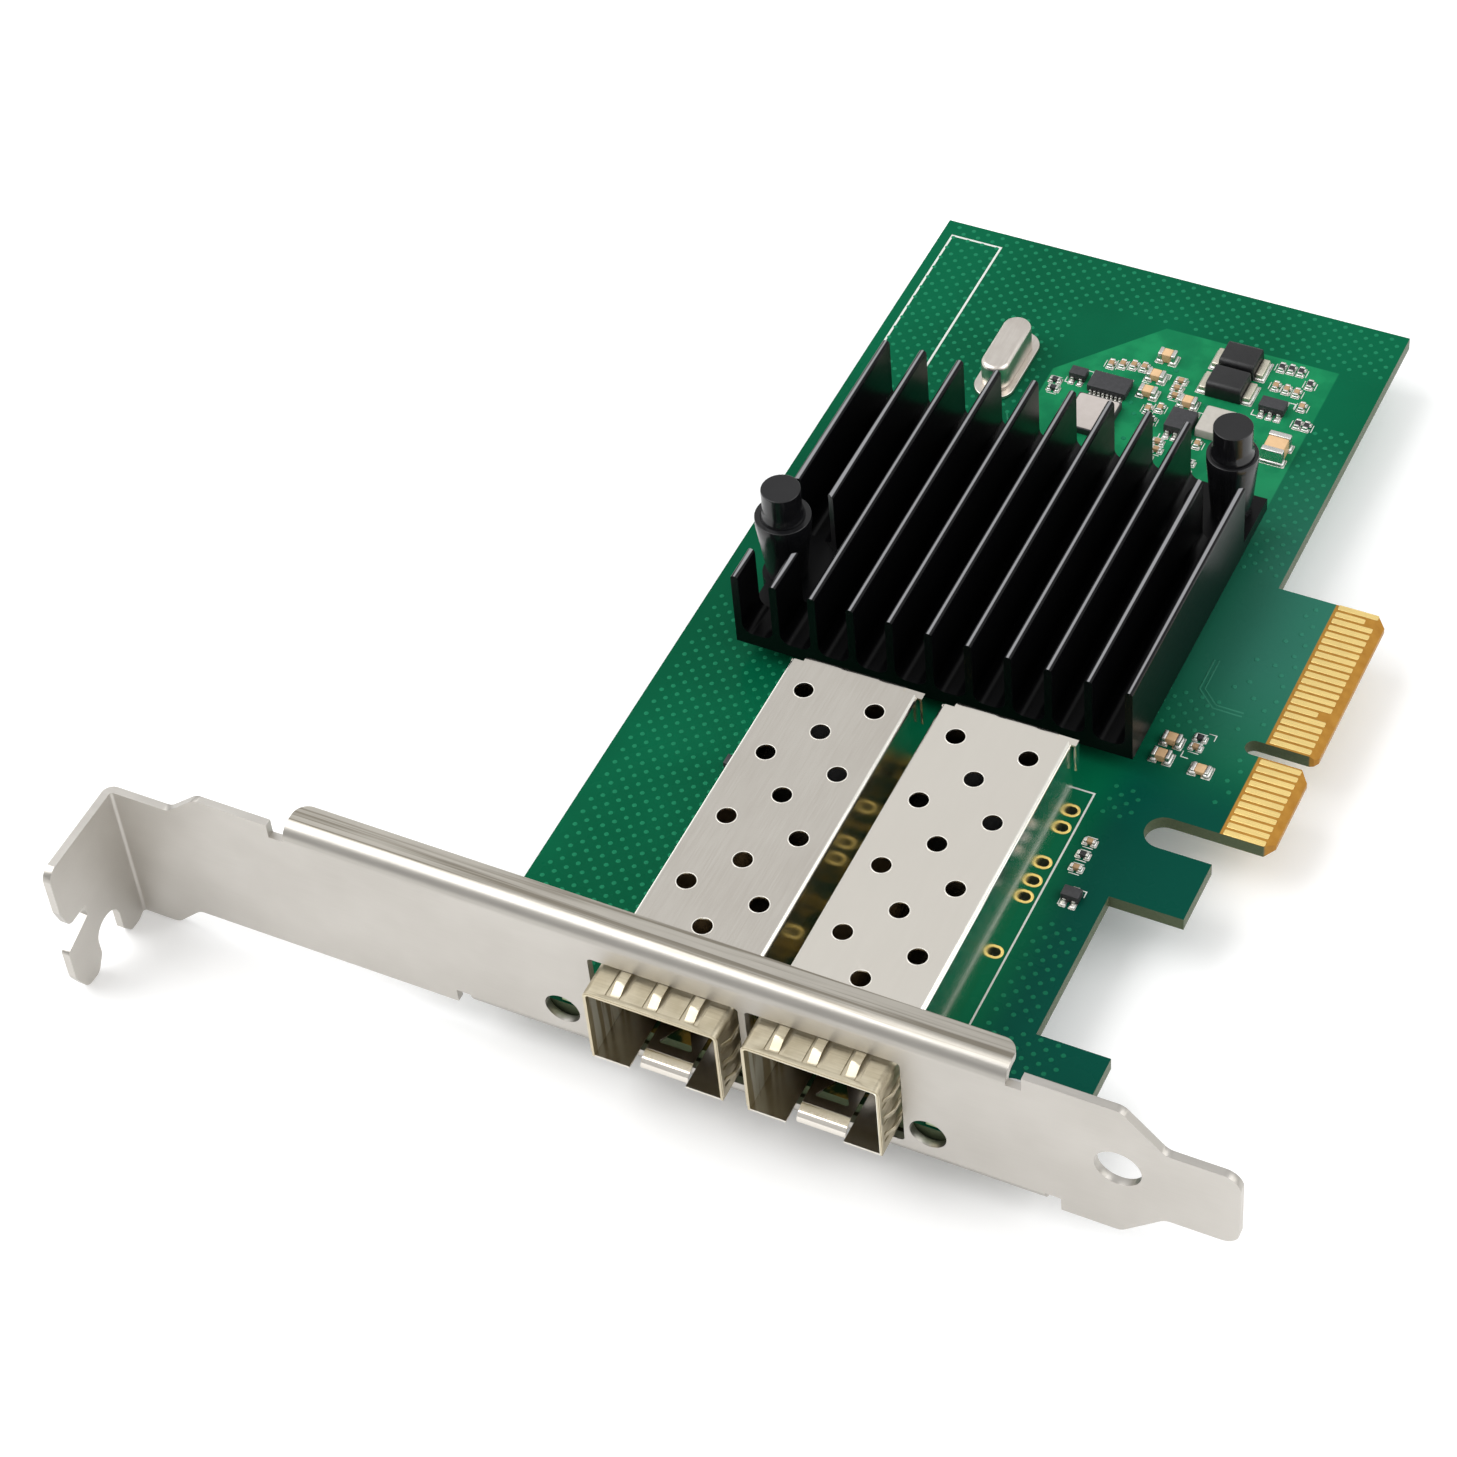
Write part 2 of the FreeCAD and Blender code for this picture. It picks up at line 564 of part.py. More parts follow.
def make_board():
    """FR-4 board: one outline, then slots, holes and the bevelled contact edge."""
    body = new_body("circuit_board")
    key_near = d.key_centre - d.key_width / 2
    key_far = d.key_centre + d.key_width / 2
    corner = d.tongue_corner
    profile = outline(new_sketch(body, "XY_Plane"), [
        (d.board_left, d.board_near),
        (leg_reach, d.board_near),
        (leg_reach, d.leg_far),
        (d.inlet_floor, d.leg_far),
        (d.inlet_floor, catch_near),
        (d.catch_reach, catch_near),
        (d.catch_reach, catch_far),
        (d.inlet_floor, catch_far, (tongue_near - catch_far) / 2 * 0.98),
        (d.inlet_floor, tongue_near, (tongue_near - catch_far) / 2 * 0.98),
        (d.contact_edge - corner, tongue_near),
        (d.contact_edge, tongue_near + corner),
        (d.contact_edge, key_near - corner * 1.2),
        (d.contact_edge - corner, key_near),
        (d.contact_edge - d.key_depth, key_near, d.key_width / 2 * 0.98),
        (d.contact_edge - d.key_depth, key_far, d.key_width / 2 * 0.98),
        (d.contact_edge - corner * 0.4, key_far),
        (d.contact_edge, key_far + corner * 0.4),
        (d.contact_edge, tongue_far - corner),
        (d.contact_edge - corner, tongue_far),
        (d.board_right, tongue_far),
        (d.board_right, d.board_far),
        (d.board_left, d.board_far)])
    pad(body, profile, d.board_thick, reverse=True)
    wall = cage_half + d.via_offset
    holes = [(x, d.ear_screw_y, d.screw_radius + d.screw_play)
             for x in EAR_X]
    holes += [(x, y, d.sleeve_shank + d.pin_play) for x, y in PIN_PLACES]
    for port in PORT_X:
        holes += [(port + wall, y, d.via_radius) for y in RIGHT_WALL_HOLES]
        holes += [(port - wall, y, d.via_radius) for y in LEFT_WALL_HOLES]
    pocket(body, circles(new_sketch(body, "XY_Plane"), holes))
    tip = d.contact_edge + 1
    root = d.contact_edge - d.bevel_run
    slope = d.bevel_fall / d.bevel_run
    for face, sign in ((size(0), 1), (board_under, -1)):
        above = face + sign
        bevel = outline(new_sketch(body, "XZ_Plane", tongue_near), [
            (root, face), (tip, face - sign * (slope * (d.bevel_run + 1))), (tip, above),
            (root, above)])
        pocket(body, bevel, tongue_far - tongue_near)
    return body


def make_contacts():
    """Gold contacts on both faces of the tongue, in two groups beside the key."""
    contacts = []
    half = d.contact_width / 2
    tips = d.contact_edge - d.contact_margin
    heels = tips - d.contact_long
    for side in range(2):
        low = size(0) if side == 0 else board_under - d.contact_thick
        for number in range(FAR_CONTACTS):
            y = d.key_centre + d.key_to_contact + d.contact_pitch * (FAR_CONTACTS - 1 - number)
            end = tips - d.contact_step if number + 1 in SHORT_CONTACTS else tips
            contacts.append(box(heels, end, y - half, y + half,
                                low, low + d.contact_thick))
        for number in range(NEAR_CONTACTS):
            y = d.key_centre - d.key_to_contact - d.contact_pitch * number
            contacts.append(box(heels, tips, y - half, y + half,
                                low, low + d.contact_thick))
    return group("edge_contacts", contacts)


# ---------------------------------------------------------------------------------------------
# Bracket
# ---------------------------------------------------------------------------------------------
BEND_LAP = 0.3  # how far the section of a bend runs on into the flat sheet beside it


def add_lip(body, edge, inward, start, end):
    """A folded lip: a bend along the strip's edge and a flange with rounded free corners."""
    root = edge + inward * (lip_outer + BEND_LAP)
    inside = edge + inward * d.bracket_thick
    bend = outline(new_sketch(body, "YZ_Plane", start), [
        (0, root), (0, edge, lip_outer), (lip_outer + BEND_LAP, edge),
        (lip_outer + BEND_LAP, inside), (d.bracket_thick, inside, d.lip_bend),
        (d.bracket_thick, root)])
    pad(body, bend, end - start)
    flange = outline(new_sketch(body, "XY_Plane", edge), [
        (start, lip_outer), (end, lip_outer), (end, d.lip_depth, d.lip_round),
        (start, d.lip_depth, d.lip_round)])
    pad(body, flange, d.bracket_thick, reverse=inward < 0)


def make_bracket():
    """Slot bracket, stamped and folded from one sheet."""
    body = new_body("bracket")
    fold = tab_inner + d.bracket_bend
    upper_root = d.strip_high - lip_outer
    lower_root = d.strip_low + lip_outer
    strip = outline(new_sketch(body, "XZ_Plane"), [
        (fold, d.fold_low),
        (d.jog_low_start, d.fold_low, d.jog_round),
        (d.jog_low_end, d.strip_low, d.jog_round),
        (d.lower_lip_start - d.lip_relief, d.strip_low),
        (d.lower_lip_start - d.lip_relief, lower_root),
        (d.lower_lip_end + d.lip_relief, lower_root),
        (d.lower_lip_end + d.lip_relief, d.strip_low),
        (d.blade_start, d.strip_low, d.jog_round),
        (d.blade_full, d.blade_low, d.jog_round),
        (d.blade_end, d.blade_low, d.blade_round),
        (d.blade_end, d.blade_high, d.blade_round),
        (d.blade_full, d.blade_high, d.jog_round),
        (d.blade_start, d.strip_high, d.jog_round),
        (d.upper_lip_end + d.lip_relief, d.strip_high),
        (d.upper_lip_end + d.lip_relief, upper_root),
        (d.upper_lip_start - d.lip_relief, upper_root),
        (d.upper_lip_start - d.lip_relief, d.strip_high),
        (d.jog_high_end, d.strip_high, d.jog_round),
        (d.jog_high_start, d.fold_high, d.jog_round),
        (fold, d.fold_high)])
    pad(body, strip, d.bracket_thick)
    add_lip(body, d.strip_high, -1, d.upper_lip_start, d.upper_lip_end)
    add_lip(body, d.strip_low, 1, d.lower_lip_start, d.lower_lip_end)
    bend = outline(new_sketch(body, "XY_Plane", d.fold_low), [
        (fold + BEND_LAP, 0), (fold + BEND_LAP, d.bracket_thick),
        (d.tab_face, d.bracket_thick, bend_outer), (d.tab_face, -d.bracket_bend - BEND_LAP),
        (tab_inner, -d.bracket_bend - BEND_LAP), (tab_inner, 0, d.bracket_bend)])
    pad(body, bend, d.fold_high - d.fold_low)
    add_screw_tab(body)
    add_mounting_ears(body)
    cut_bracket_windows(body)
    return body


def add_screw_tab(body):
    """The tab that is folded out over the chassis rail, with its open screw slot."""
    slot_left = -(d.screw_slot_y + d.screw_slot_width / 2)
    slot_right = -(d.screw_slot_y - d.screw_slot_width / 2)
    reach = -d.tab_reach
    tab = outline(new_sketch(body, "YZ_Plane", d.tab_face), [
        (-d.bracket_bend, d.fold_low),
        (-d.tooth_near, tooth_low, 0.5),
        (-d.tooth_far, tooth_low, 0.8),
        (slot_right, d.slot_mouth_near),
        (slot_right, d.screw_slot_top, d.screw_slot_width / 2 * 0.98),
        (slot_left, d.screw_slot_top, d.screw_slot_width / 2 * 0.98),
        (slot_left, d.slot_mouth_far, 1.0),
        (-d.hook_toe_near, d.hook_toe - 0.05, 1.0),
        (-d.hook_toe_far, d.hook_toe + 0.05, 1.2),
        (reach, d.hook_back, 2.0),
        (reach, d.neck_low, 0.5),
        (-d.neck_root, d.neck_slope),
        (-d.neck_root, d.neck_high),
        (reach + 1.3, d.neck_high, 1.0),
        (reach + 0.5, d.tab_shoulder, 2.0),
        (reach + 0.5, d.fold_high, 1.4),
        (-d.bracket_bend, d.fold_high)])
    pad(body, tab, d.bracket_thick)


def add_mounting_ears(body):
    """Two ears that rise from the lower lip to the board's underside and take the screws."""
    lip_top = d.strip_low + d.bracket_thick
    ear_low = board_under - d.bracket_thick
    for x in EAR_X:
        ear = outline(new_sketch(body, "YZ_Plane", x - d.ear_width / 2), [
            (d.lip_depth - 2.0, d.strip_low), (d.lip_depth - 1.3, d.strip_low),
            (d.lip_depth - 0.2, ear_low), (d.ear_reach, ear_low),
            (d.ear_reach, board_under), (d.lip_depth - 0.8, board_under),
            (d.lip_depth - 1.8, lip_top), (d.lip_depth - 2.0, lip_top)])
        pad(body, ear, d.ear_width)
    threads = [(x, d.ear_screw_y, d.screw_radius) for x in EAR_X]
    pocket(body, circles(new_sketch(body, "XY_Plane"), threads))


def cut_bracket_windows(body):
    """Port windows, status light holes and the hole beside the blade."""
    windows = new_sketch(body, "XZ_Plane")
    low, high = -d.window_gap_low, d.cage_high + d.window_gap_top
    for port in PORT_X:
        left = port - cage_half - d.window_gap_left
        right = port + cage_half + d.window_gap_right
        outline(windows, [(left, low, 0.5), (right, low, 0.5), (right, high, 0.5),
                          (left, high, 0.5)])
    circles(windows, [(LIGHT_X[0], d.light_z, d.light_hole),
                      (LIGHT_X[1], d.light_z, d.light_hole),
                      (d.finger_hole_x, d.finger_hole_z, d.finger_hole)])
    pocket(body, windows, d.bracket_thick * 1.5)


def make_screws():
    """Pan-head screws that hold the board on the bracket's ears."""
    screws = []
    for x in EAR_X:
        head = cylinder(x, d.ear_screw_y, 0, d.screw_head_high, d.screw_head_radius)
        drive = centred_box(x, d.ear_screw_y, d.screw_head_radius * 1.3, 0.7,
                            d.screw_head_high - 1, d.screw_head_high + 1)
        cross = centred_box(x, d.ear_screw_y, 0.7, d.screw_head_radius * 1.3,
                            d.screw_head_high - 1, d.screw_head_high + 1)
        shank = cylinder(x, d.ear_screw_y, board_under - d.bracket_thick - 0.4, 0,
                         d.screw_radius)
        screw = doc.addObject("Part::Fuse", "Screw")
        screw.Base, screw.Tool = cut(head, drive, cross), shank
        screws.append(screw)
    return group("bracket_screws", screws)


# ---------------------------------------------------------------------------------------------
# Ports: cage, floor, spring collar and inner connector
# ---------------------------------------------------------------------------------------------
def make_cage(side, port):
    """Cage shell folded from one sheet: roof, walls, back, rear hook, tines and vent holes."""
    body = new_body(f"port_cage_{side}", (port, 0, 0))
    inner = cage_half - d.cage_wall
    roof = d.cage_high - d.cage_wall
    inner_round = d.cage_round - d.cage_wall
    section = outline(new_sketch(body, "XZ_Plane", d.cage_front), [
        (-cage_half, 0), (-inner, 0), (-inner, roof, inner_round), (inner, roof, inner_round),
        (inner, 0), (cage_half, 0), (cage_half, d.cage_high, d.cage_round),
        (-cage_half, d.cage_high, d.cage_round)])
    pad(body, section, d.cage_back - d.cage_front)
    back = rectangle(new_sketch(body, "XZ_Plane", d.cage_back - d.cage_wall),
                     -(inner + d.cage_wall / 2), inner + d.cage_wall / 2,
                     0.3, roof + d.cage_wall / 2)
    pad(body, back, d.cage_wall)
    add_rear_hook(body)
    tines = new_sketch(body, "XY_Plane")
    half = d.tine_width / 2
    for y in RIGHT_WALL_TINES:
        rectangle(tines, inner, cage_half, y - half, y + half)
    for y in LEFT_WALL_TINES:
        rectangle(tines, -cage_half, -inner, y - half, y + half)
    pad(body, tines, d.board_thick + d.tine_below, reverse=True)
    vents = []
    for step in range(4):
        y = d.vent_far - d.vent_pitch * step
        vents += [(-d.vent_side, y, d.vent_radius), (d.vent_side, y, d.vent_radius),
                  (0, y - d.vent_pitch / 2, d.vent_radius)]
    pocket(body, circles(new_sketch(body, "XY_Plane", d.cage_high), vents), d.cage_wall * 2)
    return body


def add_rear_hook(body):
    """The roof's rear edge, rolled down behind the back wall, and its side catch."""
    back, wall = d.cage_back, d.cage_wall
    low = d.hook_low
    left = -(cage_half - d.hook_left_inset)
    right = cage_half - d.hook_right_inset
    hook = outline(new_sketch(body, "YZ_Plane", left), [
        (back - wall, d.cage_high), (back - wall, d.cage_high - wall),
        (back + d.hook_bulge - wall, d.cage_high - wall, 0.8),
        (back + d.hook_bulge - wall, low), (back + d.hook_bulge, low),
        (back + d.hook_bulge, d.cage_high, 0.8 + wall)])
    pad(body, hook, right - left)
    strip = rectangle(new_sketch(body, "XY_Plane", d.cage_high - 2 * wall),
                      right - d.hook_lap, cage_half + 2 * wall, back - wall / 2,
                      back + d.strip_reach)
    pad(body, strip, wall)
    catch = rectangle(new_sketch(body, "XY_Plane", d.cage_high - wall),
                      cage_half + wall, cage_half + 2 * wall, back - wall / 2,
                      back + d.strip_reach)
    pad(body, catch, d.cage_high - wall - low, reverse=True)


def make_floor(side, port):
    """Cage floor with two front lips and the sprung latch tongue with its window."""
    body = new_body(f"port_floor_{side}", (port, 0, 0))
    half = cage_half - d.cage_wall
    tongue = d.latch_width / 2
    plate = outline(new_sketch(body, "XY_Plane"), [
        (-half, d.cage_front), (-d.floor_mouth, d.cage_front), (-d.floor_mouth, d.latch_root),
        (-tongue, d.latch_root), (-tongue, d.latch_front + 1.4), (tongue, d.latch_front + 1.4),
        (tongue, d.latch_root), (d.floor_mouth, d.latch_root), (d.floor_mouth, d.cage_front),
        (half, d.cage_front), (half, d.floor_back), (-half, d.floor_back)])
    pad(body, plate, d.cage_wall)
    bend = d.latch_front + 1.4
    wall = d.cage_wall
    curl = outline(new_sketch(body, "YZ_Plane", -tongue), [
        (bend + 0.6, 0), (bend + 0.6, wall), (bend, wall, 1.2),
        (d.latch_front, wall - 0.5, 0.9), (d.latch_front - 0.05, -d.latch_drop),
        (d.latch_front + wall, -d.latch_drop), (d.latch_front + wall, -0.55, 0.6),
        (bend, 0, 1.0)])
    pad(body, curl, d.latch_width)
    window_front = bend + 1.1
    window = outline(new_sketch(body, "XY_Plane"), [
        (-d.latch_window / 2, window_front, 0.2), (d.latch_window / 2, window_front, 0.2),
        (0, window_front + 3.2, 0.2)])
    pocket(body, window)
    return body


def spring_profile(base):
    """Section of an arched spring finger; distances are measured from the cage's middle."""
    skin = d.collar_thick
    start = d.cage_front + d.collar_band - 0.1
    end = d.collar_back - d.collar_rear + 0.1
    peak = base + d.collar_bulge
    return [(start, base), (start + 0.5, base), (start + 1.6, peak, 0.9), (end - 2.4, peak, 2.5),
            (end - 0.3, base), (end, base), (end, base + skin), (end - 0.3, base + skin),
            (end - 2.4, peak + skin, 2.5), (start + 1.6, peak + skin, 0.9),
            (start + 0.5, base + skin), (start, base + skin)]


def make_collar(side, port):
    """Spring collar that grounds the cage to the bracket's window: a slotted sheet that lies on
    the cage's roof and both walls, with an arched finger in each slot."""
    body = new_body(f"spring_collar_{side}", (port, 0, 0))
    front = d.cage_front + 0.05
    skin = d.collar_thick
    outer = cage_half + skin
    section = outline(new_sketch(body, "XZ_Plane", front), [
        (-cage_half, 0.6), (-cage_half, d.cage_high, d.cage_round),
        (cage_half, d.cage_high, d.cage_round), (cage_half, 0.6), (outer, 0.6),
        (outer, d.cage_high + skin, d.cage_round + skin),
        (-outer, d.cage_high + skin, d.cage_round + skin), (-outer, 0.6)])
    pad(body, section, d.collar_back - front)
    slot_start = d.cage_front + d.collar_band
    slot_end = d.collar_back - d.collar_rear
    across = [d.finger_pitch * step for step in (-1, 0, 1)]
    up = [d.cage_high / 2 + d.side_pitch * step for step in (-1, 0, 1)]
    top_slots = new_sketch(body, "XY_Plane", d.cage_high - 0.1)
    for middle in across:
        rectangle(top_slots, middle - d.finger_slot / 2, middle + d.finger_slot / 2,
                  slot_start, slot_end)
    pocket(body, top_slots, skin + 0.3, reverse=True)
    side_slots = new_sketch(body, "YZ_Plane", -(cage_half + 2))
    for middle in up:
        rectangle(side_slots, slot_start, slot_end,
                  middle - d.side_slot / 2, middle + d.side_slot / 2)
    pocket(body, side_slots)
    for middle in across:
        finger = outline(new_sketch(body, "YZ_Plane", middle - d.finger_width / 2),
                         spring_profile(d.cage_high))
        pad(body, finger, d.finger_width)
    for middle in up:
        for wall in (1, -1):
            finger = outline(new_sketch(body, "XY_Plane", middle - d.side_finger / 2),
                             [(wall * c[1], c[0]) + tuple(c[2:])
                              for c in spring_profile(cage_half)])
            pad(body, finger, d.side_finger)
    return body


def make_socket(side, port):
    """Inner connector that takes the plugged module's card edge."""
    body = new_body(f"inner_connector_{side}", (port, 0, 0))
    half = cage_half - d.cage_wall - d.socket_play
    block = outline(new_sketch(body, "XZ_Plane", d.socket_front), [
        (-half, 0), (half, 0), (half, d.socket_high, 0.5), (-half, d.socket_high, 0.5)])
    pad(body, block, d.socket_back - d.socket_front)
    slot = rectangle(new_sketch(body, "XZ_Plane", d.socket_front),
                     -d.socket_slot / 2, d.socket_slot / 2, d.socket_slot_low,
                     d.socket_slot_high)
    pocket(body, slot, d.socket_slot_deep)
    return body


def make_socket_leads(side, port):
    """Solder feet of the inner connector, ten at its front and ten at its back."""
    feet = []
    for y0, y1 in ((d.socket_front - d.lead_reach, d.socket_front),
                   (d.socket_back, d.socket_back + d.lead_reach)):
        for number in range(10):
            x = port + d.lead_pitch * (number - 4.5)
            feet.append(box(x - d.lead_width / 2, x + d.lead_width / 2, y0, y1,
                            0, d.lead_thick))
    return group(f"connector_leads_{side}", feet)


# ---------------------------------------------------------------------------------------------
# Heatsink stack: controller, thermal pad, heatsink and push pins
# ---------------------------------------------------------------------------------------------
FIN_COUNT = 11


def make_heatsink():
    """Extruded heatsink: base and fins, cleared round the two push pins."""
    body = new_body("heatsink")
    middle = (d.sink_left + d.sink_right) / 2
    pitch = d.fin_gap + d.fin_thick
    comb = [(d.sink_right, d.sink_under), (d.sink_left, d.sink_under)]
    for number in range(FIN_COUNT):
        x = middle + pitch * (number - (FIN_COUNT - 1) / 2)
        low = d.sink_left if number == 0 else x - d.fin_thick / 2
        high = d.sink_right if number == FIN_COUNT - 1 else x + d.fin_thick / 2
        if number > 0:
            comb.append((low, sink_floor, d.fin_root))
        comb += [(low, d.sink_top), (high, d.sink_top)]
        if number < FIN_COUNT - 1:
            comb.append((high, sink_floor, d.fin_root))
    profile = outline(new_sketch(body, "XZ_Plane", d.sink_near), comb)
    pad(body, profile, d.sink_far - d.sink_near)
    clearance = circles(new_sketch(body, "XY_Plane", sink_floor), [
        (d.pin_left_x, d.pin_left_y, d.pin_clear_left),
        (d.pin_right_x, d.pin_right_y, d.pin_clear_right)])
    pocket(body, clearance, d.sink_top - sink_floor + 1, reverse=True)
    ear = circles(new_sketch(body, "XY_Plane", d.sink_under),
                  [(d.pin_left_x, d.pin_left_y, d.sink_ear)])
    pad(body, ear, d.sink_base)
    bore = d.sleeve_shank + d.pin_play
    pocket(body, circles(new_sketch(body, "XY_Plane"), [(x, y, bore) for x, y in PIN_PLACES]))
    return body


def make_controller():
    """Network controller: square carrier and moulded cap, with the thermal pad on top."""
    carrier = centred_box(d.chip_x, d.chip_y, d.chip_side, d.chip_side, 0, d.chip_carrier)
    finish_box(carrier, "controller_carrier")
    lid_top = d.chip_carrier + d.chip_lid_high
    lid = centred_box(d.chip_x, d.chip_y, d.chip_lid_side, d.chip_lid_side, d.chip_carrier,
                      lid_top)
    finish_box(lid, "controller_cap")
    soft = centred_box(d.chip_x, d.chip_y, d.chip_lid_side, d.chip_lid_side, lid_top,
                       d.sink_under)
    finish_box(soft, "thermal_pad")


def make_push_pin(side, x, y, sleeve_radius):
    """Two-piece push pin: a split sleeve and the plunger that spreads it."""
    sleeve = new_body(f"pin_sleeve_{side}", (x, y, 0))
    bore = d.pin_core + d.pin_play
    barb_top = board_under
    barb_low = board_under - d.barb_drop
    wall = outline(new_sketch(sleeve, "XZ_Plane"), [
        (bore, barb_low), (d.sleeve_shank - 0.35, barb_low), (d.sleeve_barb, barb_top),
        (d.sleeve_shank, barb_top), (d.sleeve_shank, sink_floor),
        (d.sleeve_foot, sink_floor), (sleeve_radius, d.sleeve_top - 1.0),
        (sleeve_radius, d.sleeve_top), (bore, d.sleeve_top)])
    revolve(sleeve, wall)
    splits = new_sketch(sleeve, "XZ_Plane")
    rectangle(splits, -0.3, 0.3, barb_low - 1, 0)
    pocket(sleeve, splits)
    plunger = new_body(f"pin_plunger_{side}", (x, y, 0))
    cap_low = d.pin_top - d.pin_cap_high
    rod = outline(new_sketch(plunger, "XZ_Plane"), [
        (0, barb_low + 0.5), (d.pin_core, barb_low + 0.8), (d.pin_core, d.sleeve_top),
        (d.pin_cap * 1.15, d.sleeve_top), (d.pin_cap, cap_low),
        (d.pin_cap, d.pin_top), (0, d.pin_top)])
    revolve(plunger, rod)


def revolve(body, sketch):
    """Turn a sketch on the XZ plane once round the body's own Z axis."""
    feature = body.newObject("PartDesign::Revolution", "Revolution")
    feature.Profile = sketch
    feature.ReferenceAxis = (sketch, ["V_Axis"])
    feature.Angle = 360
    return feature


# ---------------------------------------------------------------------------------------------
# Components on the board
# ---------------------------------------------------------------------------------------------
def finish_box(block, label):
    """A Part box has its place bound already, so it is carried in a group of one."""
    return group(label, [block])


# Large ceramic capacitors: X, Y, length, width, height, and the axis that their length follows
LARGE_CAPACITORS = [
    (49.6, 97.6, 3.2, 2.5, 1.9, "Y"),
    (33.3, 101.3, 2.0, 1.25, 0.95, "X"),
    (33.2, 104.0, 2.0, 1.25, 0.95, "X"),
    (33.3, 107.2, 2.0, 1.25, 1.25, "X"),
    (38.0, 101.3, 2.0, 1.25, 1.0, "X"),
    (54.5, 54.8, 2.0, 1.25, 0.95, "X"),
    (54.3, 52.4, 2.0, 1.25, 0.95, "X"),
    (58.6, 52.2, 2.0, 1.25, 0.6, "X"),
]
# Small chip parts: X, Y of their centres, and the axis that their length follows
SMALL_CAPACITORS = [
    (29.0, 104.6, "Y"), (30.2, 104.9, "Y"), (31.4, 105.0, "Y"), (27.8, 104.2, "Y"),
    (36.0, 104.4, "X"), (36.0, 103.2, "X"), (36.2, 102.0, "X"), (35.4, 99.6, "Y"),
    (34.2, 99.0, "Y"), (51.9, 39.3, "X"), (51.9, 35.7, "X"), (57.0, 54.9, "X"),
    (45.9, 107.4, "Y"), (47.2, 107.3, "Y"), (48.4, 107.2, "Y"), (49.7, 105.3, "Y"),
    (37.1, 94.6, "X"), (37.4, 93.4, "X"), (36.8, 92.0, "X"), (41.2, 95.8, "Y"),
]
SMALL_RESISTORS = [
    (45.5, 110.4, "Y"), (46.6, 110.5, "Y"), (47.7, 110.5, "Y"), (49.3, 108.9, "Y"),
    (57.0, 56.2, "X"), (51.9, 37.5, "X"), (50.2, 102.6, "Y"), (51.2, 102.6, "Y"),
    (23.0, 99.6, "X"), (23.3, 98.3, "X"), (35.2, 97.4, "Y"), (41.4, 92.8, "X"),
    (41.4, 91.4, "X"), (15.6, 33.4, "Y"), (15.7, 36.6, "X"), (16.0, 39.0, "X"),
]
CAP_SHARE = 0.24


def chip_part(x, y, length, width, high, along):
    """A chip component: body between two solder caps. Returns the body and the caps."""
    cap = length * CAP_SHARE
    slim = width * 0.04
    half = length / 2
    ends, middle = [], []
    for sign in (-1, 1):
        shift = sign * (half - cap / 2)
        if along == "X":
            ends.append(centred_box(x + shift, y, cap, width, 0, high))
        else:
            ends.append(centred_box(x, y + shift, width, cap, 0, high))
    core = length - 2 * cap
    if along == "X":
        middle.append(centred_box(x, y, core, width - 2 * slim, slim, high - slim))
    else:
        middle.append(centred_box(x, y, width - 2 * slim, core, slim, high - slim))
    return middle, ends


def make_chip_parts():
    """Chip capacitors and resistors, each kind's bodies and solder ends in a group."""
    large_bodies, large_ends = [], []
    for part in LARGE_CAPACITORS:
        sides = [d.layout_unit * number for number in part[:5]]
        middle, ends = chip_part(*sides, part[5])
        large_bodies += middle
        large_ends += ends
    group("large_capacitors", large_bodies)
    group("large_capacitor_ends", large_ends)
    for label, places in (("small_capacitor", SMALL_CAPACITORS),
                          ("chip_resistor", SMALL_RESISTORS)):
        bodies, tips = [], []
        for x, y, along in places:
            middle, ends = chip_part(d.layout_unit * x, d.layout_unit * y, d.small_long,
                                     d.small_wide, d.small_high, along)
            bodies += middle
            tips += ends
        group(label + "s", bodies)
        group(label + "_ends", tips)


def lead_row(x, y, count, pitch, width, reach, high, toward):
    """Gull-wing leads in a row along X: a shoulder at the body and a foot on the board."""
    leads = []
    y = size(y)
    for number in range(count):
        left = x + pitch * (number - (count - 1) / 2) - width / 2
        heel, toe = y + toward * reach * 0.35, y + toward * reach
        shin = (y, heel) if toward > 0 else (heel, y)
        foot = (heel, toe) if toward > 0 else (toe, heel)
        lead = doc.addObject("Part::Fuse", "Lead")
        lead.Base = box(left, left + width, shin[0], shin[1], 0, high)
        lead.Tool = box(left, left + width, foot[0], foot[1], 0, d.lead_thick)
        leads.append(lead)
    return leads


# Moulded packages: X and Y of their centres
MEMORY_PLACE = (29.1, 100.6)
REGULATOR_PLACE = (46.9, 103.9)
POWER_PLACE = (38.5, 97.9)
FLASH_PLACE = (29.0, 95.5)
CHOKE_PLACE = (42.4, 99.0)
# Transistors: X and Y of their centres; each has two leads on its near side and one behind
TRANSISTOR_PLACES = [(25.2, 101.1), (52.9, 32.1), (14.6, 35.0)]


def package(label, place, length, width, top, leads_a_side, pitch, lead):
    """A moulded package centred on a place, and its two rows of leads."""
    x, y = [d.layout_unit * number for number in place]
    group(label, [centred_box(x, y, length, width, d.stand_off, top)])
    rows = []
    for toward in (-1, 1):
        rows += lead_row(x, y + toward * width / 2, leads_a_side, pitch, lead,
                         d.package_reach, d.shoulder_high, toward)
    group(label + "_leads", rows)


def plain_block(label, place, length, width, top):
    """A component without visible leads, centred on a place."""
    x, y = [d.layout_unit * number for number in place]
    finish_box(centred_box(x, y, length, width, 0, top), label)


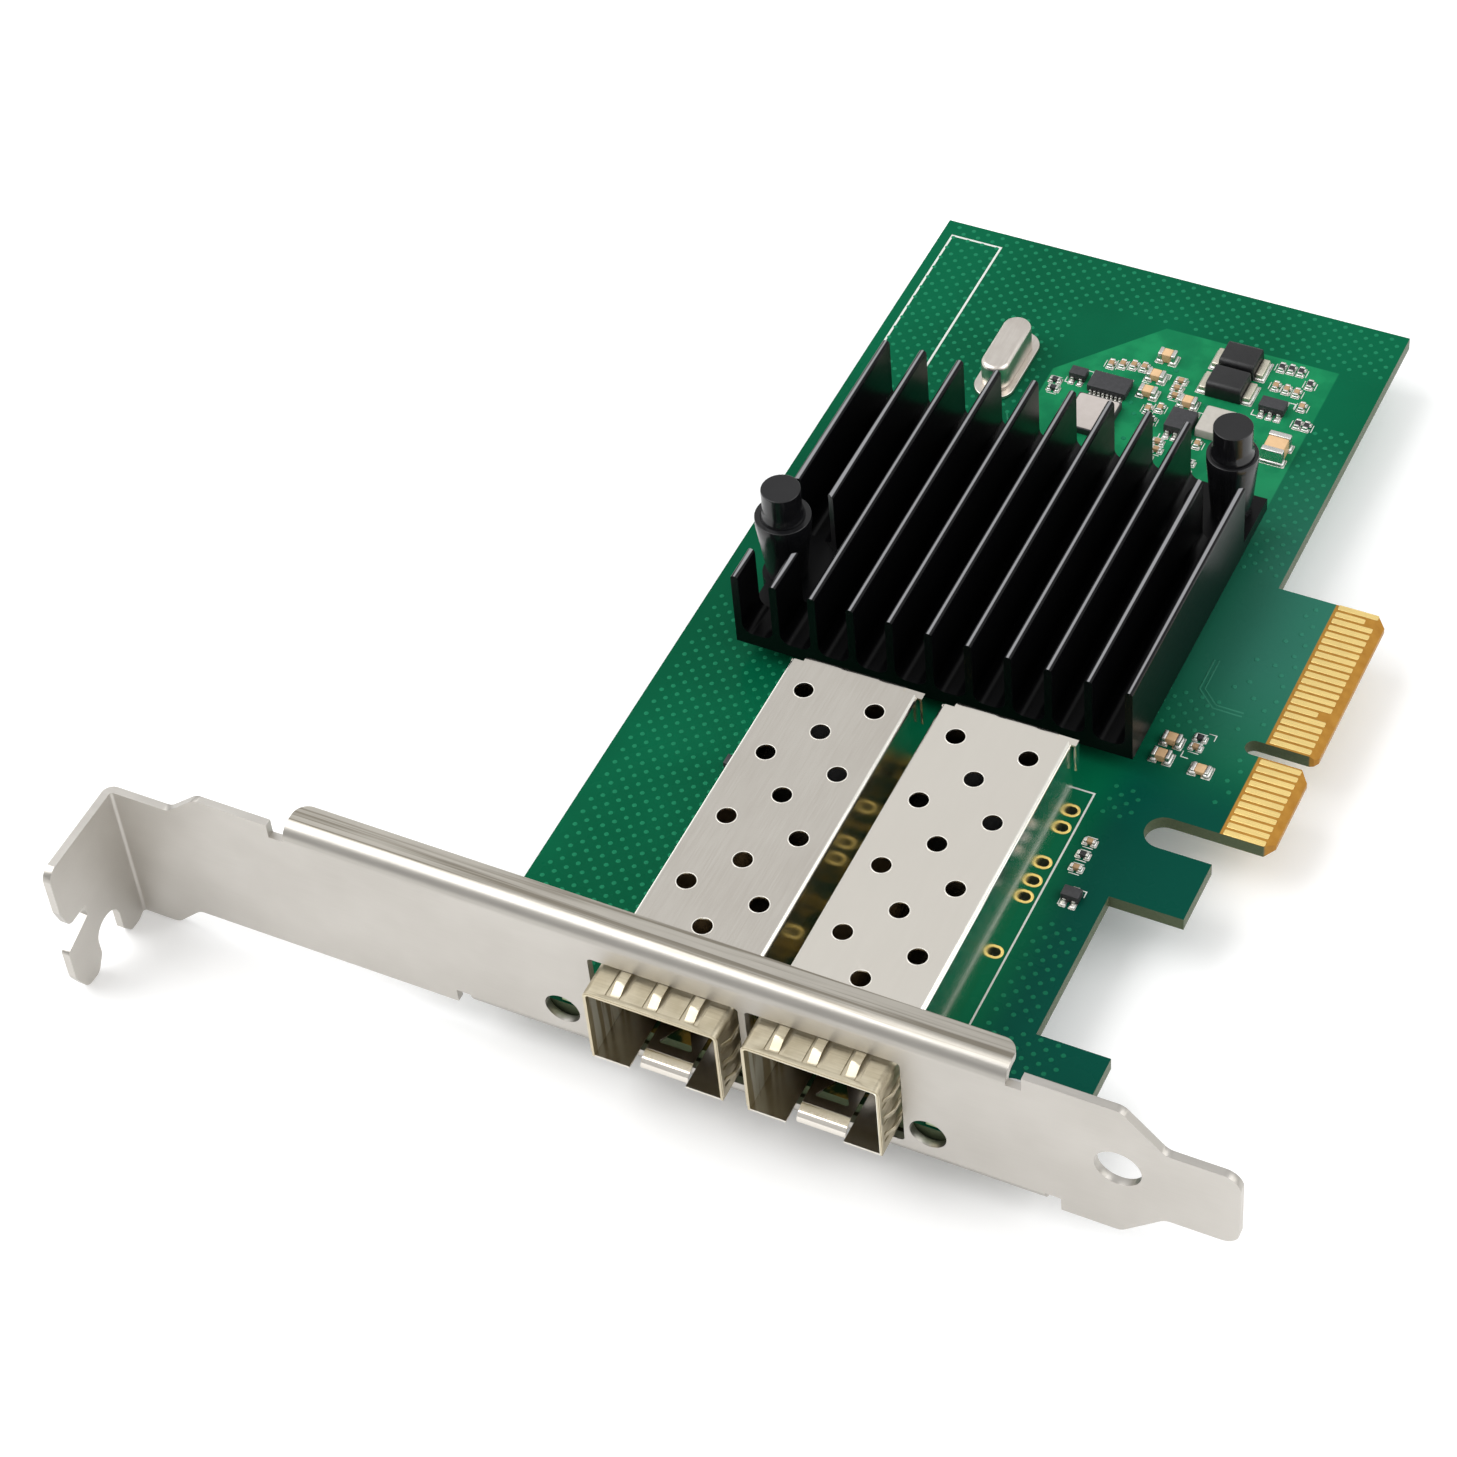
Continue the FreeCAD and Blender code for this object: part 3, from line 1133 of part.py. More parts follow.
def make_packages():
    """Flash chip, shielded inductor, memory chip, regulator, power chip and transistors."""
    plain_block("flash_chip", FLASH_PLACE, d.flash_long, d.flash_wide, d.flash_top)
    plain_block("shielded_inductor", CHOKE_PLACE, d.choke_side, d.choke_side, d.choke_top)
    package("memory_chip", MEMORY_PLACE, d.memory_long, d.memory_wide, d.memory_top, 8,
            d.memory_pitch, d.memory_lead)
    package("regulator", REGULATOR_PLACE, d.power_side, d.regulator_wide, d.regulator_top, 3,
            d.power_pitch, d.power_lead)
    package("power_chip", POWER_PLACE, d.power_side, d.power_wide, d.power_top, 3,
            d.power_pitch, d.power_lead)
    bodies, leads = [], []
    half = d.transistor_wide / 2
    for place in TRANSISTOR_PLACES:
        x, y = [d.layout_unit * number for number in place]
        bodies.append(centred_box(x, y, d.transistor_long, d.transistor_wide, d.stand_off,
                                  d.transistor_top))
        for toward, count in ((-1, 2), (1, 1)):
            leads += lead_row(x, y + toward * half, count, d.transistor_pitch,
                              d.transistor_lead, d.transistor_reach, d.shoulder_high, toward)
    group("transistors", bodies)
    group("transistor_leads", leads)


COIL_PLACES = [(41.2, 109.1), (41.2, 105.1)]


def make_inductors():
    """Two moulded power inductors with a solder tag at each end."""
    tags = []
    coils = []
    for place in COIL_PLACES:
        x, y = [d.layout_unit * number for number in place]
        block = centred_box(x, y, d.coil_wide, d.coil_deep, 0, d.coil_high)
        coils.append(round_block(block, d.coil_round))
        for sign in (-1, 1):
            inner = x + sign * d.coil_wide / 2
            outer = inner + sign * d.tag_reach
            low, high = (outer, inner) if sign < 0 else (inner, outer)
            tags.append(box(low, high, y - d.tag_width / 2, y + d.tag_width / 2, 0, d.tag_high))
    group("power_inductors", coils)
    group("inductor_tags", tags)


def round_block(block, radius):
    """Round the two long top edges of a block."""
    doc.recompute()
    top = block.Shape.BoundBox.ZMax
    along_x = [index for index, edge in enumerate(block.Shape.Edges, start=1)
               if edge.BoundBox.XLength > 1 and edge.BoundBox.ZMin > top - 0.01]
    rounded = doc.addObject("Part::Fillet", "Rounded")
    rounded.Base = block
    rounded.Edges = [(index, radius.number, radius.number) for index in along_x]
    return rounded


def make_crystal():
    """Quartz crystal: an oblong can on a wider oblong base."""
    wide, long = d.crystal_wide, d.crystal_long
    base = new_body("crystal_base", (d.crystal_x, d.crystal_y, 0))
    rim = d.crystal_rim
    half_x, half_y = wide / 2 + rim * 0.6, long / 2 + rim
    plate = outline(new_sketch(base, "XY_Plane"), oblong(half_x, half_y))
    pad(base, plate, d.crystal_flange)
    can = new_body("crystal_can", (d.crystal_x, d.crystal_y, 0))
    shell = outline(new_sketch(can, "XY_Plane", d.crystal_flange), oblong(wide / 2, long / 2))
    tall = pad(can, shell, d.crystal_top - d.crystal_flange)
    doc.recompute()
    top_edges = [f"Edge{index}" for index, edge in enumerate(tall.Shape.Edges, start=1)
                 if edge.BoundBox.ZMin > d.crystal_top.number - 0.01]
    soft = can.newObject("PartDesign::Chamfer", "Chamfer")
    soft.Base = (tall, top_edges)
    soft.Size = 0.4
    soft.setExpression("Size", d.crystal_soft.formula)


def oblong(half_x, half_y):
    """Corners of an upright oblong with nearly half-round ends."""
    radius = half_x * 0.96
    return [(-half_x, -half_y, radius), (half_x, -half_y, radius), (half_x, half_y, radius),
            (-half_x, half_y, radius)]


def make_status_lights():
    """Side-looking status lights behind the bracket's two round holes."""
    cases, lenses = [], []
    front = d.board_near + d.lamp_gap
    middle = front + d.lens_deep
    for x in LIGHT_X:
        lens, case = d.lens_width / 2, d.lamp_width / 2
        lenses.append(box(x - lens, x + lens, front, middle, d.lamp_gap, d.lens_top))
        cases.append(box(x - case, x + case, middle, middle + d.lamp_deep, 0, d.lamp_top))
    group("light_cases", cases)
    group("light_lenses", lenses)


# ---------------------------------------------------------------------------------------------
# Build everything, check it and write one file for each sub-part
# ---------------------------------------------------------------------------------------------
make_board()
make_contacts()
make_bracket()
make_screws()
for name, port_x in zip(SIDES, PORT_X):
    make_cage(name, port_x)
    make_floor(name, port_x)
    make_collar(name, port_x)
    make_socket(name, port_x)
    make_socket_leads(name, port_x)
make_heatsink()
make_controller()
make_push_pin("left", d.pin_left_x, d.pin_left_y, d.sleeve_left)
make_push_pin("right", d.pin_right_x, d.pin_right_y, d.sleeve_right)
make_crystal()
make_packages()
make_inductors()
make_chip_parts()
make_status_lights()
doc.recompute()

for item in doc.Objects:
    if "Invalid" in item.State or "Error" in item.State:
        raise RuntimeError(f"{item.Label} ({item.Name}) failed: {item.State}")
labels = [node.Label for node in nodes]
if len(set(labels)) != len(labels):
    raise RuntimeError("two sub-parts share a label")

os.makedirs("parts", exist_ok=True)
for node in nodes:
    if node.Shape.isNull() or not node.Shape.isValid():
        raise RuntimeError(f"{node.Label} has no valid shape")
    node.Shape.exportStep(os.path.join("parts", node.Label + ".step"))
print(len(nodes), "sub-parts written")
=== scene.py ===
"""Dresses a dual-port fibre network card: finishes, printed circuit detail, solder and a studio.

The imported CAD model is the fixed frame. Each operator below builds the finer pieces that stand for
one group of its nodes, or thin detail that lies on them, and one operator sets up the studio.
Lengths in this file are millimetres unless a name or a comment says otherwise.
"""

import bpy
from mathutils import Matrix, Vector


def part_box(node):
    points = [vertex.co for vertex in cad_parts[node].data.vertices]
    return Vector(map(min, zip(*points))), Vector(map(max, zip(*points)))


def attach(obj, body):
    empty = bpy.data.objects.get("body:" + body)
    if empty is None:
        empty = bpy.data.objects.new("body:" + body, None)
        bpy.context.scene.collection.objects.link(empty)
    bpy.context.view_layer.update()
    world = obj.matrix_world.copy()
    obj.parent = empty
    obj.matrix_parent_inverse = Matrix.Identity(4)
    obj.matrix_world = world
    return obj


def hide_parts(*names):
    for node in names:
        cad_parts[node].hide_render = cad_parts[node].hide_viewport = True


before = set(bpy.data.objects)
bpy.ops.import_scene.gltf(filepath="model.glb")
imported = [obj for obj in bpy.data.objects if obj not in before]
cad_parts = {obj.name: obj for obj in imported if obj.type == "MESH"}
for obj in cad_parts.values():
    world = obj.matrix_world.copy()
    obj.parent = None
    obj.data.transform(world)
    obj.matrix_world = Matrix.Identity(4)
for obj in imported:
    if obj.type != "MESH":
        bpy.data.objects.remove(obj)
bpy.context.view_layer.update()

import math

import bmesh
import bpy
import numpy as np

bl_info = {
    "name": "Network card dresser",
    "version": (1, 0, 0),
    "blender": (4, 5, 0),
    "location": "3D Viewport > Sidebar > Network Card",
    "description": "Builds the finished look of a dual-port fibre network card",
    "category": "Object",
}

MM = 0.001
BODY = "root"
SIDES = ("left", "right")
BOARD_LOW, BOARD_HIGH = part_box("circuit_board")
# The slot standard measures from the bracket's outer face; the board starts this far inside it.
BOARD_INSET = 1.3
CARD_ORIGIN = np.array(
    [BOARD_LOW.x - BOARD_INSET * MM, BOARD_LOW.y - BOARD_INSET * MM, BOARD_HIGH.z])


# ---- Frame access ----
def card(points):
    """Millimetres on the card, with Z = 0 on the component side, as metres in the frame."""
    return np.asarray(points, float) * MM + CARD_ORIGIN


def node_box(node):
    """Lowest and highest corner of a CAD node in card millimetres."""
    low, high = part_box(node)
    return (np.array(low) - CARD_ORIGIN) / MM, (np.array(high) - CARD_ORIGIN) / MM


def middle_of(node):
    """Middle of a CAD node across the card, in card millimetres."""
    low, high = node_box(node)
    return (low[0] + high[0]) / 2


def points_and_ends(mesh):
    """A mesh's points in card millimetres, and the indices of its edges' first and last ends."""
    points = np.zeros(len(mesh.vertices) * 3)
    mesh.vertices.foreach_get("co", points)
    edges = np.zeros(len(mesh.edges) * 2, int)
    mesh.edges.foreach_get("vertices", edges)
    return (points.reshape(-1, 3) - CARD_ORIGIN) / MM, edges.reshape(-1, 2).T


def solid_boxes(node):
    """Boxes of a node's separate solids in card millimetres, as two arrays of corners.

    Touching triangles share a label: every vertex takes the lowest label among its neighbours
    until none changes, and each label's vertices then give one box.
    """
    points, ends = points_and_ends(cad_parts[node].data)
    unique, same = np.unique(np.round(points, 4), axis=0, return_inverse=True)
    start, end = same.reshape(-1)[ends]
    label = np.arange(len(unique))
    while True:
        lower = label.copy()
        np.minimum.at(lower, start, label[end])
        np.minimum.at(lower, end, label[start])
        lower = lower[lower]
        if np.array_equal(lower, label):
            break
        label = lower
    names = np.unique(label)
    lows = np.array([unique[label == name].min(0) for name in names])
    highs = np.array([unique[label == name].max(0) for name in names])
    return lows, highs


# ---- Surfaces ----
def skin(name, parts, finish, smooth=True):
    """One mesh object over a list of parts, each (rings, caps, closed).

    rings[form, row, column] holds points in card millimetres. Columns run round a form and are
    joined last to first; rows run along it and are joined last to first only if closed. Caps shut
    the first and last row of an open form.
    """
    points, loops, counts, start = [], [], [], 0
    for rings, caps, closed in parts:
        forms, rows, columns = rings.shape[:3]
        index = np.arange(forms * rows * columns).reshape(forms, rows, columns) + start
        beside, ahead = np.roll(index, -1, axis=2), np.roll(index, -1, axis=1)
        across = np.roll(beside, -1, axis=1)
        quads = np.stack([index, beside, across, ahead], axis=-1)
        quads = quads if closed else quads[:, :-1]
        loops.append(quads.reshape(-1))
        counts.append(np.full(quads.size // 4, 4))
        if caps and not closed:
            ends = np.concatenate([index[:, 0, ::-1], index[:, -1]])
            loops.append(ends.reshape(-1))
            counts.append(np.full(len(ends), columns))
        points.append(rings.reshape(-1, 3))
        start += rings.size // 3
    points, loops, counts = np.concatenate(points), np.concatenate(loops), np.concatenate(counts)
    mesh = bpy.data.meshes.new(name)
    mesh.vertices.add(len(points))
    mesh.vertices.foreach_set("co", card(points).reshape(-1))
    mesh.loops.add(len(loops))
    mesh.loops.foreach_set("vertex_index", loops)
    mesh.polygons.add(len(counts))
    mesh.polygons.foreach_set("loop_start", np.cumsum(counts) - counts)
    mesh.update(calc_edges=True)
    mesh.validate()
    tidy_mesh(mesh)
    return place_piece(name, mesh, finish, smooth)


SEAM_METRES = 2e-7


def tidy_mesh(mesh):
    """Closes seams and poles, drops faces without area and turns all faces outwards."""
    edit = bmesh.new()
    edit.from_mesh(mesh)
    bmesh.ops.remove_doubles(edit, verts=edit.verts, dist=SEAM_METRES)
    bmesh.ops.dissolve_degenerate(edit, edges=edit.edges, dist=SEAM_METRES)
    bmesh.ops.recalc_face_normals(edit, faces=edit.faces)
    edit.to_mesh(mesh)
    edit.free()


def place_piece(name, mesh, finish, smooth=True):
    """Puts a mesh in the scene as a piece of the card, with its finish and shading."""
    piece = bpy.data.objects.new(name, mesh)
    bpy.context.scene.collection.objects.link(piece)
    mesh.materials.append(material_of(finish))
    if smooth:
        mesh.shade_smooth()
    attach(piece, BODY)
    return piece


def stand_for(piece, slot, *nodes):
    """Hides these CAD nodes, which the piece stands for. The piece and the slot are not used."""
    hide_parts(*nodes)


SHARP_ANGLE = math.radians(30)


def round_edges(piece, width, segments):
    """Bevels a piece's sharp edges and keeps its flat faces looking flat."""
    bevel = piece.modifiers.new("Rounded edges", "BEVEL")
    bevel.width = width * MM
    bevel.segments = segments
    bevel.limit_method = "ANGLE"
    bevel.angle_limit = SHARP_ANGLE
    bevel.miter_outer = "MITER_ARC"
    normals = piece.modifiers.new("Flat faces", "WEIGHTED_NORMAL")
    normals.keep_sharp = True


# Triangles this close to one plane belong to one face, and points this near in metres are one.
FLAT_ANGLE, WELD = math.radians(0.5), 1e-6


def softened(node, finish, slot, width, segments=2, wide=None, quads=False):
    """A finer copy of a CAD node: its triangles joined into faces, and its edges rounded.

    quads joins no more than two triangles, for sheets whose slots a large face would span.
    wide is (radius, chooser) where some edges are rounded more than the rest. The chooser takes the
    edges' two ends in card millimetres and says which edges those are.
    """
    edit = bmesh.new()
    edit.from_mesh(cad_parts[node].data)
    bmesh.ops.remove_doubles(edit, verts=edit.verts, dist=WELD)
    if quads:
        bmesh.ops.join_triangles(edit, faces=edit.faces, angle_face_threshold=FLAT_ANGLE,
                                 angle_shape_threshold=math.pi)
    else:
        bmesh.ops.dissolve_limit(edit, angle_limit=FLAT_ANGLE, verts=edit.verts, edges=edit.edges)
    mesh = bpy.data.meshes.new(node + "_finished")
    edit.to_mesh(mesh)
    edit.free()
    piece = place_piece(node + "_finished", mesh, finish)
    if wide:
        radius, chooser = wide
        points, (start, end) = points_and_ends(mesh)
        weight = mesh.attributes.new("bevel_weight_edge", "FLOAT", "EDGE")
        weight.data.foreach_set("value", chooser(points[start], points[end]).astype(np.float32))
        bevel = piece.modifiers.new("Rounded tips", "BEVEL")
        bevel.width, bevel.segments = radius * MM, 6
        bevel.limit_method = "WEIGHT"
        bevel.use_clamp_overlap = False
    round_edges(piece, width, segments)
    stand_for(piece, slot, node)


def with_level(plan, level):
    """Points of a plan, each with its height, which may be given per form, row or column."""
    return np.concatenate([plan, np.broadcast_to(level, plan.shape[:-1] + (1,))], axis=-1)


def rounded_boxes(lows, highs, radii, steps=3, foot=None):
    """Rings of boxes with rounded edges.

    A direction goes round a sphere with its eight octants pulled apart:
    point = centre + sign * (half size - radius) + radius * direction, where sign is the octant's.
    foot is the radius of the lower edges where they differ from the upper ones.
    """
    lows, highs = np.atleast_2d(lows).astype(float), np.atleast_2d(highs).astype(float)
    half, centre = (highs - lows) / 2, (highs + lows) / 2
    radii = np.minimum(np.broadcast_to(radii, half.shape), half * 0.98)
    quarter = np.linspace(0, np.pi / 2, steps + 1)
    around = (quarter + np.arange(4)[:, None] * np.pi / 2).reshape(-1)
    rise = np.concatenate([quarter - np.pi / 2, quarter])
    flat_x = np.repeat([1, -1, -1, 1], steps + 1)
    flat_y = np.repeat([1, 1, -1, -1], steps + 1)
    upper = np.repeat([-1, 1], steps + 1)
    direction = np.stack(np.broadcast_arrays(
        np.cos(rise)[:, None] * np.cos(around), np.cos(rise)[:, None] * np.sin(around),
        np.sin(rise)[:, None]), axis=-1)
    sign = np.stack(np.broadcast_arrays(flat_x, flat_y, upper[:, None]), axis=-1)
    reach = np.broadcast_to(radii[:, None, None, :], (len(half),) + direction.shape).copy()
    if foot is not None:
        reach[:, :steps + 1] = np.minimum(reach[:, :steps + 1], foot)
    core = half[:, None, None, :] - reach
    return centre[:, None, None, :] + sign * core + reach * direction, True, False


STRIP_SUNK = 0.01


def strip(path, width, high, closed=False):
    """Rings of a thin strip laid on the board along a path.

    At each point the strip's edges stand off by the mitre vector, the sum of the two neighbouring
    segments' normals divided by one plus their dot product, times half the width.
    """
    path = np.asarray(path, float)
    step = np.diff(np.vstack([path, path[:1]]), axis=0)
    if not closed:
        step[-1] = step[-2]
    step /= np.linalg.norm(step, axis=1)[:, None]
    normal = np.stack([-step[:, 1], step[:, 0]], axis=1)
    before = np.roll(normal, 1, axis=0)
    if not closed:
        before[0] = normal[0]
    mitre = (before + normal) / (1 + (before * normal).sum(1))[:, None] * width / 2
    shoulder = 1 - min(0.35, high * 2 / width)
    side = np.array([-1, 1, shoulder, -shoulder])
    level = np.array([-STRIP_SUNK, -STRIP_SUNK, high, high])
    plan = path[:, None] + mitre[:, None] * side[None, :, None]
    return with_level(plan, level[:, None])[None], True, closed


def wheel(columns):
    """Unit directions evenly spaced round a circle."""
    angle = np.linspace(0, 2 * np.pi, columns, endpoint=False)
    return np.stack([np.cos(angle), np.sin(angle)], axis=1)


def domes(places, radius, high, columns=8, base=0.0, down=False):
    """Rings of low domes, each row a smaller circle at a greater height, for vias and dots."""
    places = np.atleast_2d(np.asarray(places, float))
    share = np.array([1.0, 0.86, 0.5])
    lift = np.array([-0.3, 0.75, 1.0]) * high
    rim = wheel(columns) * radius
    plan = places[:, None, None, :2] + share[None, :, None, None] * rim[None, None]
    level = base + (-lift if down else lift)
    return with_level(plan, level[None, :, None, None]), True, False


def lands(places, outer, inner, high, columns=28, base=0.0):
    """Rings of flat annular lands: a rounded section carried round each hole."""
    places = np.atleast_2d(np.asarray(places, float))
    soft = (outer - inner) * 0.25
    section = np.array([
        (inner, -0.02), (outer, -0.02), (outer - soft * 0.4, high * 0.7), (outer - soft, high),
        (inner + soft, high), (inner + soft * 0.3, high * 0.6)])
    section[:, 1] += base
    rim = wheel(columns)
    plan = places[:, None, None, :2] + rim[None, :, None] * section[None, None, :, :1]
    return with_level(plan, section[None, None, :, 1:]), False, True


# ---- Finishes ----
# The middle of a cloud pattern's values, where nearly all of them lie
CLOUD = (0.3, 0.7)


class Finish:
    """A procedural material under construction. Patterns read Object coordinates, in metres."""

    def __init__(self, name, colour, metallic=0.0, roughness=0.5, **sockets):
        self.material = bpy.data.materials.new(name)
        self.material.use_nodes = True
        self.nodes = self.material.node_tree.nodes
        self.links = self.material.node_tree.links
        self.shader = self.nodes["Principled BSDF"]
        self.shader.inputs["Base Color"].default_value = (*colour, 1)
        self.shader.inputs["Metallic"].default_value = metallic
        self.shader.inputs["Roughness"].default_value = roughness
        for socket, value in sockets.items():
            self.shader.inputs[socket.replace("_", " ")].default_value = value
        self.place = self.nodes.new("ShaderNodeTexCoord").outputs["Object"]

    def add(self, kind, settings=None, **inputs):
        """A node with its settings, and each input given a value or joined to a socket."""
        node = self.nodes.new(kind)
        for key, value in (settings or {}).items():
            setattr(node, key, value)
        for key, value in inputs.items():
            number = int(key[1:]) if key[0] == "_" and key[1:].isdigit() else key.replace("_", " ")
            self.join(value, node.inputs[number])
        return node

    def join(self, value, socket):
        """Joins an output to the socket, or sets the socket's own value."""
        if isinstance(value, bpy.types.NodeSocket):
            self.links.new(value, socket)
        else:
            socket.default_value = value

    def stretched(self, x, y, z):
        """Object coordinates multiplied along each axis, to draw a grain out."""
        return self.add("ShaderNodeMapping", Vector=self.place, Scale=(x, y, z)).outputs[0]

    def noise(self, size, detail=3.0, place=None):
        """Cloud noise whose features are about this many millimetres across."""
        return self.add("ShaderNodeTexNoise", Vector=place or self.place, Scale=1 / (size * MM),
                        Detail=detail, Roughness=0.55).outputs["Fac"]

    def math(self, operation, first, second=0.0):
        """Arithmetic on two numbers or sockets."""
        return self.add("ShaderNodeMath", {"operation": operation}, _0=first, _1=second).outputs[0]

    def product(self, first, *others):
        """Product of numbers or sockets."""
        for other in others:
            first = self.math("MULTIPLY", first, other)
        return first

    def spread(self, value, low, high, to_low=0.0, to_high=1.0):
        """Maps a range of a value smoothly onto another."""
        return self.add("ShaderNodeMapRange", {"interpolation_type": "SMOOTHSTEP"}, Value=value,
                        From_Min=low, From_Max=high, To_Min=to_low, To_Max=to_high).outputs[0]

    def blend(self, share, first, second):
        """Mixes two colours by a share."""
        node = self.add("ShaderNodeMix", {"data_type": "RGBA"})
        self.join(share, node.inputs[0])
        self.join((*first, 1) if isinstance(first, tuple) else first, node.inputs[6])
        self.join((*second, 1) if isinstance(second, tuple) else second, node.inputs[7])
        return node.outputs[2]

    def given(self, socket):
        """The output that the shader's socket takes so far."""
        return self.shader.inputs[socket].links[0].from_socket

    def colour(self, value):
        """The material's colour comes from this socket."""
        self.links.new(value, self.shader.inputs["Base Color"])

    def rough(self, value):
        """The material's roughness comes from this socket."""
        self.links.new(value, self.shader.inputs["Roughness"])

    def relief(self, value, high):
        """Gives the surface a bump of this height in millimetres."""
        bump = self.add("ShaderNodeBump", Height=value, Distance=high * MM, Strength=1.0)
        self.links.new(bump.outputs[0], self.shader.inputs["Normal"])

    def axis(self, name):
        """One Object coordinate, in metres."""
        return self.add("ShaderNodeSeparateXYZ", Vector=self.place).outputs[name]

    def along(self, name, low, high):
        """Smooth share of the way along an axis between two places in card millimetres."""
        origin = CARD_ORIGIN["XYZ".index(name)]
        return self.spread(self.axis(name), origin + low * MM, origin + high * MM)

    def upward(self):
        """How nearly the surface faces straight up or down, from 0 to 1."""
        normal = self.add("ShaderNodeNewGeometry").outputs["Normal"]
        return self.math("ABSOLUTE", self.add("ShaderNodeSeparateXYZ", Vector=normal).outputs["Z"])


def card_looks():
    """The card's colours and sizes as they are set in the scene."""
    return bpy.context.scene.card_looks


def scaled(colour, share):
    """A colour made lighter or darker."""
    return tuple(value * share for value in colour)


def mottled(name, dark, light, size, metallic=0.0, roughness=(0.3, 0.45), relief=0.0, **sockets):
    """A finish that drifts between two colours and two roughnesses, with an optional fine bump."""
    finish = Finish(name, light, metallic, roughness[0], **sockets)
    finish.colour(finish.blend(finish.noise(size), dark, light))
    finish.rough(finish.spread(finish.noise(size * 0.4), *CLOUD, *roughness))
    if relief:
        finish.relief(finish.noise(size * 0.06, 4.0), relief)
    return finish


def brushed(name, dark, light, along, roughness, grain=0.0, size=6.0, fibres=0.4):
    """Rolled or brushed metal: long fine grain along one axis over slow changes of tone."""
    finish = Finish(name, light, 1.0, roughness[0])
    stretch = [1.0, 1.0, 1.0]
    stretch["XYZ".index(along)] = 0.04
    fibre = finish.noise(0.16, 2.0, finish.stretched(*stretch))
    tone = finish.math("ADD", finish.math("MULTIPLY", finish.noise(size), 1 - fibres),
                       finish.math("MULTIPLY", fibre, fibres))
    finish.colour(finish.blend(finish.spread(tone, *CLOUD), dark, light))
    finish.rough(finish.spread(fibre, *CLOUD, *roughness))
    if grain:
        finish.relief(fibre, grain)
    return finish


MASK_GLOSS = 0.05
# Painted sheen colour and its share beyond the heatsink, and painted shade colour round the catch
PAINTED_SHEEN, PAINTED_SHEEN_SHARE, PAINTED_SHADE = (0.045, 0.205, 0.155), 0.62, (0.001, 0.060, 0.040)


def with_painted_light(finish, colour, depth=1.0):
    """Mask colour with a painted milky sheen beyond the heatsink, which stands in for the gloss's
    reflection there, and painted shade round the catch."""
    # Painted sheen: lighter bluish green beyond the heatsink
    sheen_share = finish.product(finish.along("X", 44, 60), finish.along("Y", 46, 70),
                          finish.along("Y", 106, 78), PAINTED_SHEEN_SHARE)
    # Painted shade: darker green round the catch, weaker where depth is lower
    bare = finish.product(finish.along("X", 49, 54), finish.along("Y", 56, 46), depth)
    return finish.blend(bare, finish.blend(sheen_share, colour, PAINTED_SHEEN), PAINTED_SHADE)


def painted_gap_shade(finish):
    """Share of the brownish painted shade, with painted amber reflections, on the board between and
    under the two cages.
    """
    low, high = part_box("spring_collar_left")[0].x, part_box("spring_collar_right")[1].x
    x, back = finish.axis("X"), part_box("port_cage_left")[1].y
    return finish.product(finish.spread(x, low + 0.6 * MM, low + 0.9 * MM),
                          finish.spread(x, high - 0.6 * MM, high - 0.9 * MM), 0.9,
                          finish.spread(finish.axis("Y"), back, back - 3 * MM))


# The copper poured among the far components ends on the line Y = POUR_START + POUR_SLOPE * X, and
# fades out between the two places of each side.
POUR_START, POUR_SLOPE = 76.5, 1.13
POUR_SIDES = (("Y", 112.0, 111.8), ("X", 51.7, 51.5), ("Y", 86.0, 86.2), ("X", 21.9, 22.1))


def poured(finish):
    """Share of copper pour under the mask round the components at the far end: one area with a
    sloping corner and a tone that drifts."""
    place = {name: finish.math("DIVIDE", finish.math("SUBTRACT", finish.axis(name), origin), MM)
             for name, origin in zip("XY", CARD_ORIGIN)}
    line = finish.math("ADD", finish.math("MULTIPLY", place["X"], POUR_SLOPE), POUR_START)
    corner = finish.spread(finish.math("SUBTRACT", line, place["Y"]), -0.1, 0.1)
    sides = [finish.spread(place[name], low, high) for name, low, high in POUR_SIDES]
    tone = finish.spread(finish.noise(5.0), 0.35, 0.65, 0.5, 1.0)
    return finish.product(corner, *sides, tone)


